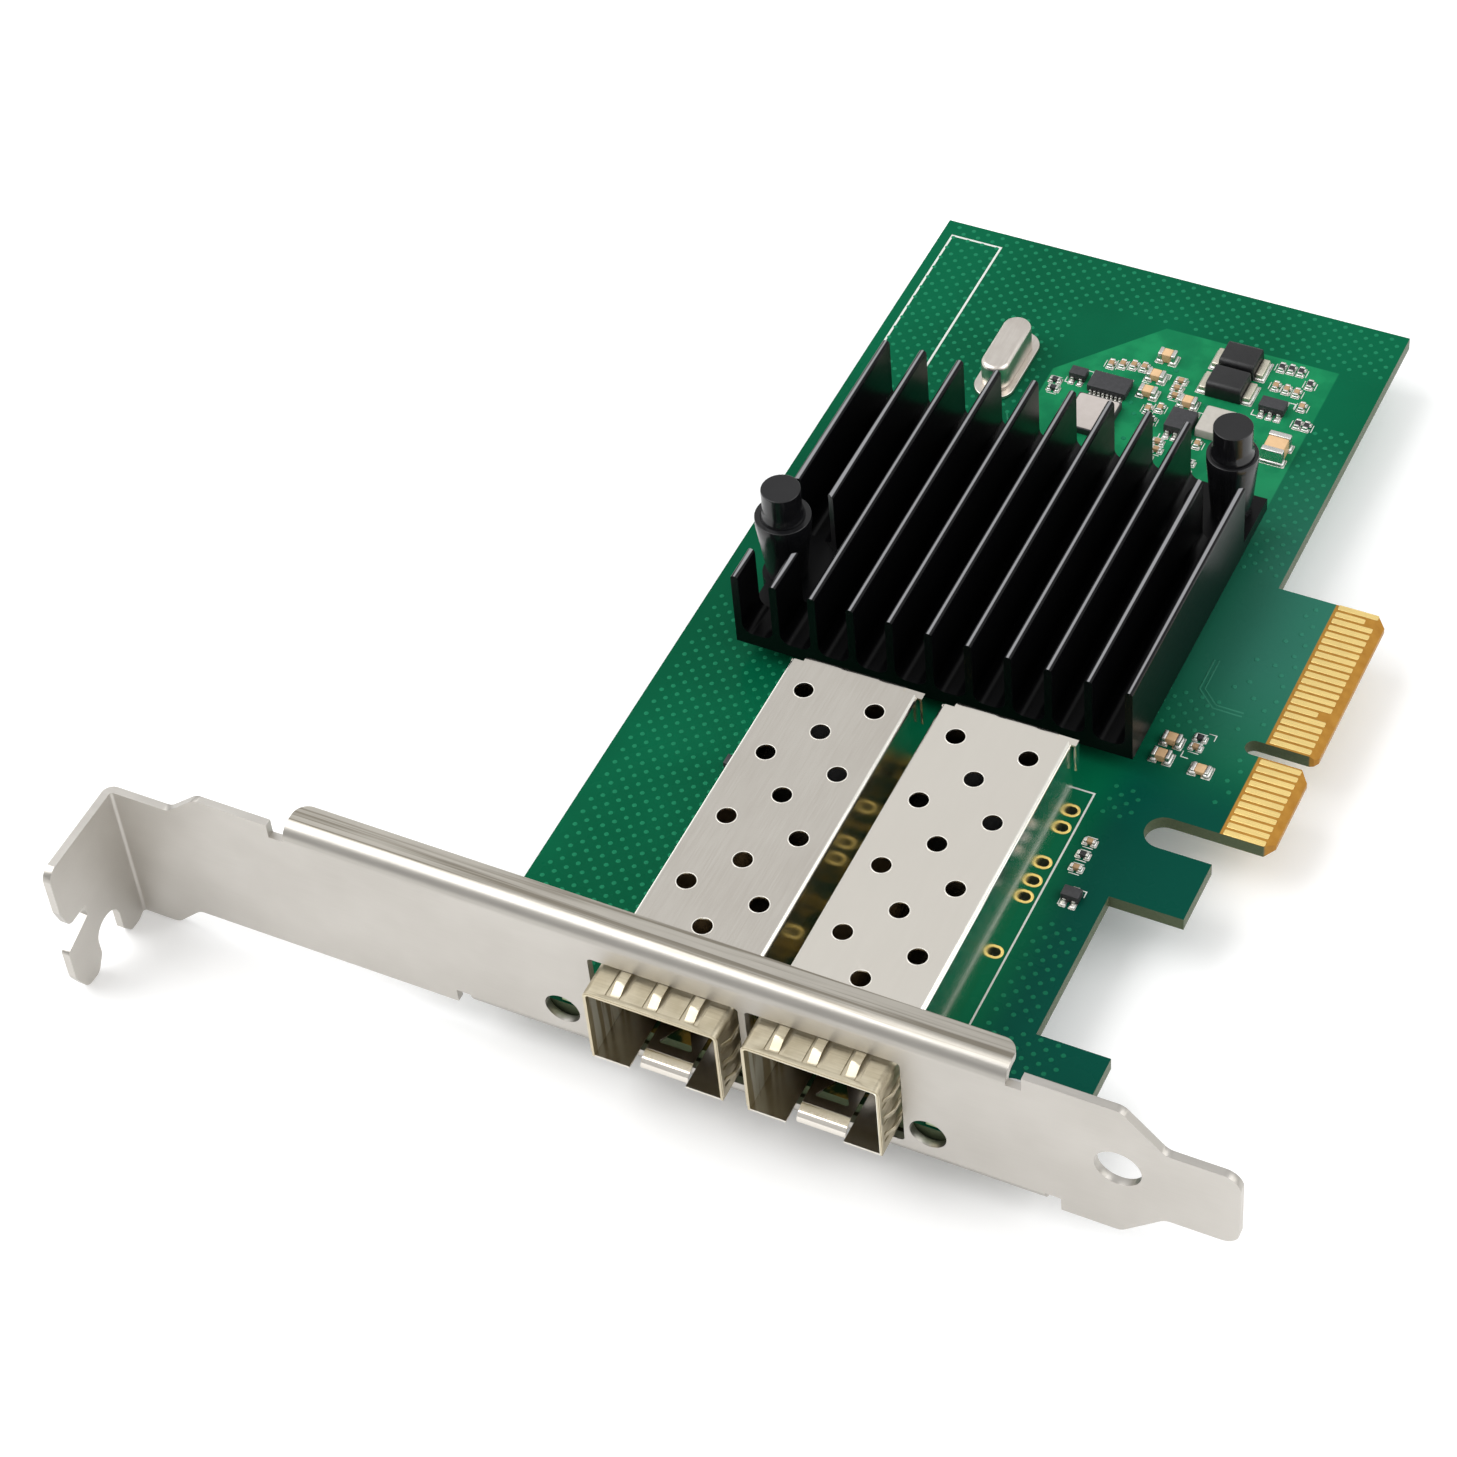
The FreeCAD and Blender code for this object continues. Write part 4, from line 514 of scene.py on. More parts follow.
def mask_finish():
    """Green solder mask over copper, bare laminate at the cut edges, amber between contacts."""
    green = tuple(card_looks().mask_colour)
    finish = Finish("solder_mask_green", green, 0.0, 0.3, Specular_IOR_Level=MASK_GLOSS)
    face = finish.blend(finish.spread(finish.noise(22.0), 0.35, 0.65), scaled(green, 0.8), green)
    # Painted sheen beyond the heatsink and painted shade round the catch, over the mask and its pour
    face = with_painted_light(finish, finish.blend(poured(finish), face, (0.011, 0.235, 0.090)))
    # Painted shade with painted amber reflections on the board between and under the cages
    gap_shade_and_glint = finish.blend(
        finish.spread(finish.noise(1.6), 0.45, 0.7), (0.010, 0.016, 0.006), (0.20, 0.12, 0.02))
    face = finish.blend(painted_gap_shade(finish), face, gap_shade_and_glint)
    laminate = finish.blend(
        finish.noise(0.25, 3.0, finish.stretched(1, 1, 8)), (0.03, 0.055, 0.03), (0.14, 0.16, 0.09))
    amber = finish.blend(finish.noise(1.2), (0.30, 0.13, 0.02), (0.50, 0.26, 0.05))
    contacts = node_box("edge_contacts")[0]
    on_tongue = finish.math("GREATER_THAN", finish.axis("Y"),
                            CARD_ORIGIN[1] + (contacts[1] - 1.0) * MM)
    bare = finish.product(finish.along("X", contacts[0] - 0.35, contacts[0] - 0.25), on_tongue)
    slanted_tip = finish.product(bare, finish.along("X", 67.9, 68.1))
    coated = finish.math("MAXIMUM", finish.spread(finish.upward(), 0.35, 0.8), slanted_tip)
    finish.colour(finish.blend(coated, laminate, finish.blend(bare, face, amber)))
    finish.rough(finish.spread(finish.noise(5.0), *CLOUD, 0.22, 0.32))
    finish.relief(finish.noise(1.6, 2.0), 0.008)
    return finish


def covered(name, dark, light):
    """Solder mask over copper: lighter than over bare laminate."""
    finish = Finish(name, light, 0.0, 0.27, Specular_IOR_Level=MASK_GLOSS)
    # The same painted sheen, with weaker painted shade round the catch
    finish.colour(with_painted_light(finish, finish.blend(finish.noise(3.0), dark, light), 0.45))
    return finish


def dot_finish():
    """Mask over the copper dots and vias."""
    copper = tuple(card_looks().copper_colour)
    return covered("covered_copper", scaled(copper, 0.85), copper)


def track_finish():
    """Mask over the tracks."""
    return covered("covered_tracks", (0.02, 0.17, 0.09), (0.03, 0.22, 0.12))


def bracket_finish():
    """Plated steel with a faint grain along the bracket: duller on the flat face, painted darker on
    the bend as shade, and with painted dark reflection streaks on the lip."""
    finish = brushed("bracket_steel", (0.545, 0.521, 0.483), (0.610, 0.586, 0.548), "X",
                     (0.26, 0.34), grain=0.0005, size=14.0, fibres=0.15)
    # Painted dark reflection streaks for the lip
    reflection_streak = finish.spread(finish.noise(0.5, 2.0, finish.stretched(0.015, 1, 1)), 0.38, 0.62)
    painted_dark_streaks = finish.blend(reflection_streak, (0.27, 0.245, 0.20), (0.52, 0.49, 0.435))
    level = finish.upward()
    # Painted shade on the bend, which tones down its highlight
    bend = finish.product(finish.spread(level, 0.05, 0.25), finish.spread(level, 0.95, 0.8))
    painted_bend_shade = finish.blend(bend, finish.given("Base Color"), (0.43, 0.41, 0.375))
    lip = finish.product(finish.spread(level, 0.8, 0.99), finish.along("Y", 0.7, 1.2))
    finish.colour(finish.blend(lip, painted_bend_shade, painted_dark_streaks))
    dull = finish.spread(level, 0.25, 0.05, 0.06, 0.24)
    finish.rough(finish.math("ADD", finish.given("Roughness"), dull))
    return finish


def bright_sheet(name):
    """Bright plated sheet, faintly brushed from front to back."""
    return brushed(name, (0.71, 0.665, 0.60), (0.77, 0.73, 0.665), "Y", (0.14, 0.2), size=10.0)


CAGE_WIDTH, CAGE_INNER_BACK, CAGE_SKIN = 14.0, 42.9, 0.2
# Behind the front of a cage, the light in its mouth and the reach of its collar fade out here.
MOUTH_ENDS, COLLAR_ENDS = (12.0, 6.0), (7.2, 6.8)


def shell_finish():
    """Bright plated sheet outside, painted a little brighter on the second cage and with a painted
    highlight on the bends. Inside the walls it has painted shade, with painted warm reflection
    streaks towards the mouth. Inside, and all round under the collar, it is dull, and under the
    collar it has painted shade. A place counts as inside where it lies deeper than the sheet's skin."""
    finish = bright_sheet("shell_sheet")
    low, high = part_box("port_cage_left")
    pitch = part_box("port_cage_right")[0].x - low.x
    skin_depth = CAGE_SKIN * MM
    x, y, z = finish.axis("X"), finish.axis("Y"), finish.axis("Z")
    across = finish.math("MODULO", finish.math("SUBTRACT", x, low.x), pitch)
    inner = finish.product(
        finish.math("GREATER_THAN", across, skin_depth),
        finish.math("LESS_THAN", across, CAGE_WIDTH * MM - skin_depth),
        finish.math("LESS_THAN", z, high.z - skin_depth),
        finish.math("LESS_THAN", y, CARD_ORIGIN[1] + CAGE_INNER_BACK * MM))
    # Painted reflection streaks inside the mouth
    reflection_streak = finish.spread(finish.noise(0.9, 2.0, finish.stretched(0.02, 1, 0.05)), 0.45, 0.6)
    painted_reflections = finish.blend(reflection_streak, (0.56, 0.48, 0.30), (1.0, 0.98, 0.84))
    mouth = finish.spread(y, *(low.y + place * MM for place in MOUTH_ENDS))
    # Painted shade deep inside the cage, turning into the painted reflection streaks towards the
    # mouth
    inside = finish.blend(mouth, (0.42, 0.33, 0.23), painted_reflections)
    # The second cage is painted brighter: painted light on a copy of the same sheet
    second = finish.spread(x, low.x + pitch - 1.5 * MM, low.x + pitch, to_high=0.7)
    sheet = finish.blend(second, finish.given("Base Color"), (0.98, 0.935, 0.85))
    # Painted highlight on the rounded bends
    bend = finish.spread(finish.upward(), 0.975, 0.90)
    painted_bend_highlight = finish.blend(bend, sheet, (1.0, 0.975, 0.90))
    # Painted shade under the collar, darker and warmer
    under_collar = finish.spread(y, *(low.y + place * MM for place in COLLAR_ENDS))
    outside = finish.blend(under_collar, painted_bend_highlight, (0.60, 0.54, 0.41))
    finish.colour(finish.blend(inner, outside, inside))
    dull = finish.product(finish.math("MAXIMUM", inner, under_collar), 0.30)
    finish.rough(finish.math("ADD", finish.given("Roughness"), dull))
    return finish


def floor_sheet_finish():
    """Bright sheet on the lip in front of the mouth, and painted shade further in."""
    finish = bright_sheet("floor_sheet")
    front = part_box("port_cage_left")[0].y
    # Painted shade inside the mouth
    shaded_further_in = finish.spread(finish.axis("Y"), front + 2 * MM, front + 8 * MM)
    finish.colour(finish.blend(shaded_further_in, finish.given("Base Color"), (0.20, 0.165, 0.11)))
    return finish


def collar_finish():
    """Spring sheet, brushed along the bracket."""
    return brushed("collar_sheet", (0.52, 0.46, 0.33), (0.68, 0.62, 0.48), "X", (0.32, 0.46),
                   grain=0.002, size=2.5)


def can_finish():
    """Drawn can of the crystal, brushed along its length."""
    return brushed("crystal_can", (0.72, 0.66, 0.60), (0.82, 0.77, 0.71), "Y", (0.28, 0.38),
                   size=2.5)


def ink_finish():
    """White legend ink with slightly broken edges to its colour."""
    return mottled("legend_ink", (0.62, 0.64, 0.60), tuple(card_looks().ink_colour), 0.5,
                   roughness=(0.45, 0.6), relief=0.004)


def contact_finish():
    """Hard gold with the hair scratches that insertion leaves along the contact."""
    gold = tuple(card_looks().gold_colour)
    finish = brushed("contact_gold", scaled(gold, 0.9), gold, "X", (0.2, 0.3), size=2.0)
    finish.shader.inputs["Metallic"].default_value = 0.55
    return finish


def fin_finish():
    """Black anodised extrusion: fine drawn lines along the fins over a deep satin black, with a
    painted grey highlight along the crests of the fins."""
    black = tuple(card_looks().fin_colour)
    finish = Finish("fin_anodising", black, 0.0, 0.3, Specular_IOR_Level=0.19)
    satin = finish.blend(finish.noise(4.0), black, scaled(black, 2.0))
    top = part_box("heatsink")[1].z
    # Painted highlight: grey along the crests of the fins
    painted_tip_highlight = finish.product(finish.spread(finish.upward(), 0.93, 0.995),
                           finish.math("GREATER_THAN", finish.axis("Z"), top - 0.08 * MM))
    finish.colour(finish.blend(painted_tip_highlight, satin, (0.26, 0.26, 0.27)))
    lines = finish.noise(0.12, 2.0, finish.stretched(1, 0.02, 1))
    finish.rough(finish.spread(lines, *CLOUD, 0.28, 0.33))
    return finish


SPECIAL = {
    "solder_mask_green": mask_finish, "covered_copper": dot_finish, "covered_tracks": track_finish,
    "legend_ink": ink_finish, "contact_gold": contact_finish, "bracket_steel": bracket_finish,
    "shell_sheet": shell_finish, "floor_sheet": floor_sheet_finish, "collar_sheet": collar_finish,
    "crystal_can": can_finish, "fin_anodising": fin_finish}

# Finishes that only drift: dark and light colour, size of the clouds, how metallic, the range of
# roughness, and the height of the fine bump
DRIFTING = {
    "paper_label": ((0.46, 0.41, 0.38), (0.56, 0.51, 0.48), 1.2, 0.0, (0.6, 0.75), 0.004),
    "ferrite_moulding": ((0.42, 0.39, 0.35), (0.55, 0.52, 0.47), 0.6, 0.0, (0.4, 0.55), 0.01),
    "land_gold": ((1.0, 0.68, 0.15), (1.0, 0.82, 0.30), 0.8, 0.3, (0.12, 0.22)),
    "screw_zinc": ((0.50, 0.50, 0.50), (0.72, 0.72, 0.70), 1.0, 1.0, (0.25, 0.4), 0.01),
    "punched_rim": ((0.76, 0.73, 0.66), (0.90, 0.87, 0.81), 0.5, 0.5, (0.25, 0.4)),
    "socket_moulding": ((0.012, 0.012, 0.012), (0.03, 0.03, 0.03), 1.5, 0.0, (0.4, 0.55), 0.01),
    "lead_tin": ((0.55, 0.54, 0.50), (0.82, 0.81, 0.77), 0.3, 1.0, (0.22, 0.4), 0.01),
    "solder": ((0.60, 0.59, 0.56), (0.88, 0.87, 0.84), 0.35, 1.0, (0.18, 0.4), 0.012),
    "pin_nylon": ((0.004, 0.004, 0.005), (0.009, 0.009, 0.01), 2.5, 0.0, (0.16, 0.26), 0.005),
    "chip_epoxy": ((0.018, 0.018, 0.02), (0.045, 0.045, 0.05), 0.5, 0.0, (0.4, 0.58), 0.012),
    "coil_epoxy": ((0.005, 0.005, 0.006), (0.013, 0.013, 0.014), 0.9, 0.0, (0.33, 0.48), 0.014),
    "carrier_laminate": ((0.01, 0.07, 0.03), (0.02, 0.12, 0.05), 3.0, 0.0, (0.3, 0.45)),
    "thermal_pad_rubber": ((0.25, 0.26, 0.28), (0.36, 0.37, 0.40), 0.8, 0.0, (0.7, 0.85), 0.02),
    "capacitor_ceramic": ((0.30, 0.17, 0.08), (0.55, 0.36, 0.19), 0.7, 0.0, (0.35, 0.5), 0.008),
    "tan_ceramic": ((0.62, 0.38, 0.19), (0.82, 0.56, 0.31), 0.9, 0.0, (0.35, 0.5), 0.008),
    "tag_tin": ((0.60, 0.56, 0.44), (0.84, 0.80, 0.68), 0.5, 0.8, (0.25, 0.4), 0.01),
    "resistor_glaze": ((0.012, 0.012, 0.014), (0.03, 0.03, 0.035), 0.5, 0.0, (0.25, 0.4)),
    "lamp_case": ((0.68, 0.68, 0.64), (0.84, 0.84, 0.80), 0.6, 0.0, (0.4, 0.5)),
    "lamp_lens": ((0.42, 0.55, 0.30), (0.60, 0.72, 0.45), 0.6, 0.0, (0.15, 0.25)),
}

made_finishes = {}


def material_of(name):
    """The material of a named finish, made when a piece first asks for it."""
    if name not in made_finishes:
        finish = mottled(name, *DRIFTING[name]) if name in DRIFTING else SPECIAL[name]()
        made_finishes[name] = finish.material
    return made_finishes[name]


# ---- Sizes and colours that a user would change ----
def colour_property(name, description, default):
    """A colour in linear red, green and blue."""
    return bpy.props.FloatVectorProperty(
        name=name, description=description, default=default, subtype="COLOR", min=0.0, max=1.0)


def length_property(name, description, default):
    """A size on the card. It is a plain number of millimetres, like the sizes in this file."""
    return bpy.props.FloatProperty(name=name, description=description + ", in millimetres",
                                   default=default, min=0.001)


def amount_property(name, description, default, lowest=0.0):
    """A number that has a lowest value."""
    return bpy.props.FloatProperty(
        name=name, description=description, default=default, min=lowest)


class CardLooks(bpy.types.PropertyGroup):
    """Colours and small sizes of the card's finish."""
    mask_colour: colour_property("Solder mask", "Green of the coated board", (0.0010, 0.112, 0.049))
    copper_colour: colour_property("Covered copper", "Mask colour over copper dots",
                                   (0.012, 0.205, 0.098))
    ink_colour: colour_property("Legend ink", "Printed lines on the board", (0.80, 0.82, 0.78))
    gold_colour: colour_property("Contact gold", "Plating of the edge contacts", (0.98, 0.73, 0.27))
    fin_colour: colour_property("Heatsink black", "Anodising of the heatsink",
                                (0.0012, 0.0012, 0.0015))
    dot_pitch: length_property("Dot pitch", "Distance between neighbouring copper dots", 1.273)
    dot_radius: length_property("Dot radius", "Radius of a copper dot", 0.29)
    track_width: length_property("Track width", "Width of a signal track", 0.22)
    line_width: length_property("Legend line", "Width of a printed line", 0.28)
    copper_high: length_property("Copper height", "How far covered copper stands out", 0.03)


class StudioLooks(bpy.types.PropertyGroup):
    """Floor, lights and camera."""
    floor_colour: colour_property("Floor", "Colour of the studio floor", (0.93, 0.93, 0.93))
    floor_glow: amount_property("Floor glow", "Light that the lit table gives off by itself", 0.16)
    key_power: amount_property("Key light", "Power of the large overhead light, in watts", 6.0)
    fill_power: amount_property("Fill light", "Power of the light beyond the contacts, in watts",
                                3.5)
    world_strength: amount_property("Room light", "Strength of the surrounding room light", 0.72)
    lens: amount_property("Lens", "Focal length on a 36 mm sensor, in millimetres", 97.893, 10.0)
    position: bpy.props.FloatVectorProperty(
        name="Camera position", description="Place of the camera", subtype="TRANSLATION",
        unit="LENGTH", default=(0.127806, -0.249171, 0.310832))
    turn: bpy.props.FloatVectorProperty(
        name="Camera turn", description="Camera rotation about X, Y and Z, in degrees",
        default=(41.76299, 4.28630, 25.79292))


# ---- Circuit board ----
class CARD_OT_board(bpy.types.Operator):
    """Board with its cut edges broken and a coated, slightly uneven surface"""
    bl_idname = "card.board"
    bl_label = "Circuit board"

    def execute(self, context):
        softened("circuit_board", "solder_mask_green", "solder_mask", 0.06)
        return {"FINISHED"}


# Areas of the component side and of the underside with copper dots: low X, high X, low Y, high Y
DOT_AREAS = [
    (2.0, 17.0, 2.4, 57.0), (2.0, 56.2, 112.3, 119.4), (2.0, 21.5, 88.0, 112.3),
    (51.8, 56.2, 80.0, 103.8), (50.7, 55.3, 15.8, 28.8), (50.6, 54.9, 42.9, 47.8),
    (50.2, 57.6, 56.4, 61.8), (50.6, 60.0, 2.4, 15.4)]
UNDER_AREAS = [(2.0, 16.6, 13.0, 119.4), (16.0, 56.2, 90.0, 119.4), (51.0, 55.3, 16.0, 60.0)]
DOT_START = (1.08, 16.6)
# Between these X no dots lie before the poured copper's sloping side and this distance beyond it.
DOTLESS, DOT_SPACE = (21.5, 33.0), 1.0
# Via dots on the contact tongue and among the components
VIA_RADIUS = 0.3
VIA_PLACES = [
    (61.6, 77.4), (60.9, 76.2), (62.1, 75.0), (61.4, 73.6), (62.3, 72.2), (60.2, 72.1),
    (61.8, 70.4), (62.4, 69.0), (61.5, 67.4), (62.2, 66.0), (58.4, 68.6), (60.4, 68.5),
    (58.8, 65.4), (57.6, 64.2), (60.0, 63.4), (62.3, 63.8), (61.6, 62.2), (62.2, 60.4),
    (61.7, 55.0), (62.3, 53.6), (61.5, 52.0), (62.2, 50.6), (61.4, 48.9), (60.0, 58.9),
    (25.0, 97.0), (26.2, 96.0), (32.0, 99.4), (33.0, 97.9), (34.8, 105.9), (39.9, 101.9),
    (43.9, 101.4), (42.6, 98.8), (43.9, 97.3), (44.9, 95.4), (46.6, 98.6), (47.0, 96.6),
    (46.9, 94.9), (44.2, 93.4), (39.6, 93.9), (35.0, 95.2), (33.4, 93.9), (31.0, 93.2)]
# A pair of tracks towards the contacts, and four short ones at the far end
TRACKS = [[(54.4, 67.0), (54.4, 62.6), (56.6, 60.6), (59.8, 60.6)],
          [(54.9, 67.0), (54.9, 62.8), (56.8, 61.1), (59.8, 61.1)]] + [
    [(20.0 + shift, 93.0), (21.2 + shift, 90.6), (21.2 + shift, 87.5)]
    for shift in (0.0, 0.9, 1.8, 2.7)]


def dot_lattice(areas, pitch):
    """Places of a lattice turned by 45 degrees: a square grid with half the diagonal as its step,
    on which only the places with an even sum of row and column stand."""
    step = pitch / math.sqrt(2)
    column, row = np.meshgrid(np.arange(-2, 66), np.arange(-20, 118))
    even = (column + row) % 2 == 0
    x = DOT_START[0] + column[even] * step
    y = DOT_START[1] + row[even] * step
    inside = np.zeros(len(x), bool)
    for low_x, high_x, low_y, high_y in areas:
        inside |= (x > low_x) & (x < high_x) & (y > low_y) & (y < high_y)
    return np.stack([x, y], axis=1)[inside]


class CARD_OT_copper(bpy.types.Operator):
    """Copper dots, vias and tracks that stand out under the solder mask"""
    bl_idname = "card.copper"
    bl_label = "Covered copper"

    def execute(self, context):
        looks = context.scene.card_looks
        radius, high = looks.dot_radius, looks.copper_high
        dots = dot_lattice(DOT_AREAS, looks.dot_pitch)
        x, y = dots.T
        free = (x > DOTLESS[0]) & (x < DOTLESS[1]) & (y < POUR_START + DOT_SPACE + POUR_SLOPE * x)
        piece = skin("copper_dots", [
            domes(dots[~free], radius, high),
            domes(VIA_PLACES, VIA_RADIUS, high * 1.6, columns=12)], "covered_copper")
        under, level = dot_lattice(UNDER_AREAS, looks.dot_pitch), node_box("circuit_board")[0][2]
        piece = skin("copper_dots_under", [domes(under, radius, high, base=level, down=True)],
                     "covered_copper")
        piece = skin("covered_tracks", [strip(path, looks.track_width, high * 0.5)
                                        for path in TRACKS], "covered_tracks", smooth=False)
        return {"FINISHED"}


# Y of the press-fit holes on the contacts' side of each cage and on its other side, and how far
# both rows lie from the cage's middle
NEAR_LANDS = [42.5, 40.1, 35.2, 32.7, 30.5, 23.0]
OTHER_LANDS = [35.2, 30.2, 27.9, 17.8]
LAND_OFFSET = 7.15
LAND_SIZES = (0.86, 0.53, 0.05)


class CARD_OT_lands(bpy.types.Operator):
    """Gold lands round the cages' press-fit holes"""
    bl_idname = "card.lands"
    bl_label = "Press-fit lands"

    def execute(self, context):
        places = []
        for side in SIDES:
            centre = middle_of("spring_collar_" + side)
            places += [(centre + LAND_OFFSET, y) for y in NEAR_LANDS]
            places += [(centre - LAND_OFFSET, y) for y in OTHER_LANDS]
        piece = skin("hole_lands", [lands(places, *LAND_SIZES)], "land_gold")
        return {"FINISHED"}


# Printed lines: the empty box at the far corner, the outline beside the ports, and the boxes whose
# low and high corners are marked (low X, high X, low Y, high Y)
EMPTY_BOX = [(2.65, 89.0), (2.65, 117.7), (8.7, 117.7), (8.7, 89.0)]
PORT_OUTLINE = [(49.87, 13.8), (49.87, 45.4), (47.0, 45.4)]
MARKED_BOXES = [
    (24.0, 26.5, 99.9, 102.4), (44.9, 48.9, 102.4, 105.6), (36.8, 40.3, 95.2, 100.6),
    (51.9, 54.0, 30.9, 33.3), (56.0, 58.4, 53.3, 57.2), (32.0, 34.6, 102.9, 105.0)]
INK_HIGH, CORNER_REACH = 0.022, 0.8
LINE_SPACE, LINE_REACH = 0.42, 0.25


def side_lines(low, high, width):
    """Two short printed lines beside a chip part, along its longer side."""
    along = 0 if high[0] - low[0] > high[1] - low[1] else 1
    beside = 1 - along
    lines = []
    for place in (low[beside] - LINE_SPACE, high[beside] + LINE_SPACE):
        ends = np.full((2, 2), place)
        ends[:, along] = low[along] - LINE_REACH, high[along] + LINE_REACH
        lines.append(strip(ends, width, INK_HIGH))
    return lines


class CARD_OT_print(bpy.types.Operator):
    """Printed outlines in legend ink: an empty box, the port outline and part corners"""
    bl_idname = "card.legend"
    bl_label = "Printed outlines"

    def execute(self, context):
        width = context.scene.card_looks.line_width
        lines = [strip(EMPTY_BOX, width, INK_HIGH, True),
                 strip(PORT_OUTLINE, width * 0.8, INK_HIGH)]
        for low_x, high_x, low_y, high_y in MARKED_BOXES:
            near_x, near_y = low_x + CORNER_REACH, low_y + CORNER_REACH
            far_x, far_y = high_x - CORNER_REACH, high_y - CORNER_REACH
            for path in ([(low_x, near_y), (low_x, low_y), (near_x, low_y)],
                         [(far_x, high_y), (high_x, high_y), (high_x, far_y)]):
                lines.append(strip(path, width * 0.5, INK_HIGH))
        for node in ("small_capacitors", "chip_resistors", "large_capacitors"):
            for low, high in zip(*solid_boxes(node)):
                lines += side_lines(low, high, width * 0.45)
        piece = skin("legend_lines", lines, "legend_ink", smooth=False)
        return {"FINISHED"}


class CARD_OT_contacts(bpy.types.Operator):
    """Edge contacts with rounded corners and softly raised plating"""
    bl_idname = "card.contacts"
    bl_label = "Edge contacts"

    def execute(self, context):
        lows, highs = solid_boxes("edge_contacts")
        upper, sunk = lows[:, 2] > -0.5, 0.01
        lows[:, 2] = np.where(upper, -sunk, lows[:, 2])
        highs[:, 2] = np.where(upper, highs[:, 2], highs[:, 2] + sunk)
        rings = rounded_boxes(lows, highs, (0.16, 0.16, 0.025))
        piece = skin("edge_contact_plating", [rings], "contact_gold")
        stand_for(piece, "gold_plating", "edge_contacts")
        return {"FINISHED"}


# ---- Sheet metal ----
class CARD_OT_bracket(bpy.types.Operator):
    """Slot bracket and its two mounting screws, with deburred edges"""
    bl_idname = "card.bracket"
    bl_label = "Bracket and screws"

    def execute(self, context):
        softened("bracket", "bracket_steel", "bracket_steel", 0.14, 3)
        softened("bracket_screws", "screw_zinc", "screw_steel", 0.12, 3)
        return {"FINISHED"}


# Vents of a cage: Y of the first row, distance between rows, their number, and how far the outer
# columns stand from the middle one, whose vents lie half a row nearer to the bracket
VENT_FIRST, VENT_PITCH, VENT_ROWS, VENT_SIDE = 39.4, 8.91, 4, 3.9
RIM_SIZES = (1.11, 0.99, 0.03)


class CARD_OT_cages(bpy.types.Operator):
    """Port cages, their floors, the spring collars round their mouths and the vents' cut rims"""
    bl_idname = "card.cages"
    bl_label = "Port cages"

    def execute(self, context):
        rims = []
        for side in SIDES:
            softened("port_cage_" + side, "shell_sheet", "cage_metal", 0.07)
            softened("port_floor_" + side, "floor_sheet", "cage_metal", 0.05)
            softened("spring_collar_" + side, "collar_sheet", "spring_metal", 0.03, quads=True)
            centre = middle_of("spring_collar_" + side)
            for row in range(VENT_ROWS):
                y = VENT_FIRST - VENT_PITCH * row
                rims += [(centre - VENT_SIDE, y), (centre + VENT_SIDE, y),
                         (centre, y - VENT_PITCH / 2)]
        roof = node_box("port_cage_left")[1][2]
        piece = skin("vent_rims", [lands(rims, *RIM_SIZES, 36, roof)], "punched_rim")
        return {"FINISHED"}


class CARD_OT_sockets(bpy.types.Operator):
    """Inner connectors of the ports, with their leads"""
    bl_idname = "card.sockets"
    bl_label = "Inner connectors"

    def execute(self, context):
        for side in SIDES:
            softened("inner_connector_" + side, "socket_moulding", "connector_black", 0.12)
            softened("connector_leads_" + side, "lead_tin", "tin_leads", 0.03)
        return {"FINISHED"}


# ---- Cooling ----
class CARD_OT_heatsink(bpy.types.Operator):
    """Finned heatsink, the controller under it and its thermal pad"""
    bl_idname = "card.heatsink"
    bl_label = "Heatsink and controller"

    def execute(self, context):
        softened("heatsink", "fin_anodising", "black_anodised", 0.1, 2, (0.4, self.fin_tips))
        softened("controller_carrier", "carrier_laminate", "carrier_laminate", 0.05)
        softened("controller_cap", "chip_epoxy", "mould_black", 0.12)
        softened("thermal_pad", "thermal_pad_rubber", "thermal_rubber", 0.08)
        return {"FINISHED"}

    @staticmethod
    def fin_tips(start, end):
        """The long upper edges of the fins: both ends at the top, and the same X."""
        top = node_box("heatsink")[1][2] - 0.01
        return ((start[:, 2] > top) & (end[:, 2] > top)
                & (np.abs(start[:, 0] - end[:, 0]) < 0.001))


class CARD_OT_pins(bpy.types.Operator):
    """Push pins that hold the heatsink, each a moulded sleeve and a plunger"""
    bl_idname = "card.pins"
    bl_label = "Push pins"

    def execute(self, context):
        for side in SIDES:
            softened("pin_sleeve_" + side, "pin_nylon", "black_nylon", 0.08)
            softened("pin_plunger_" + side, "pin_nylon", "black_nylon", 0.1)
        return {"FINISHED"}


# ---- Components ----
def stadium(half_long, half_wide, columns=48):
    """Outline of a slot shape along Y: two half circles joined by straight sides. Returns the
    centres of the ends and unit directions from them, so that an inset can shrink the outline."""
    angle = np.linspace(0, 2 * np.pi, columns, endpoint=False) + np.pi / columns
    centre = np.stack([np.zeros(columns), np.sign(np.sin(angle)) * (half_long - half_wide)], axis=1)
    return centre, np.stack([np.cos(angle), np.sin(angle)], axis=1)


CAN_EDGE, CAN_FOOT = 0.55, 0.4


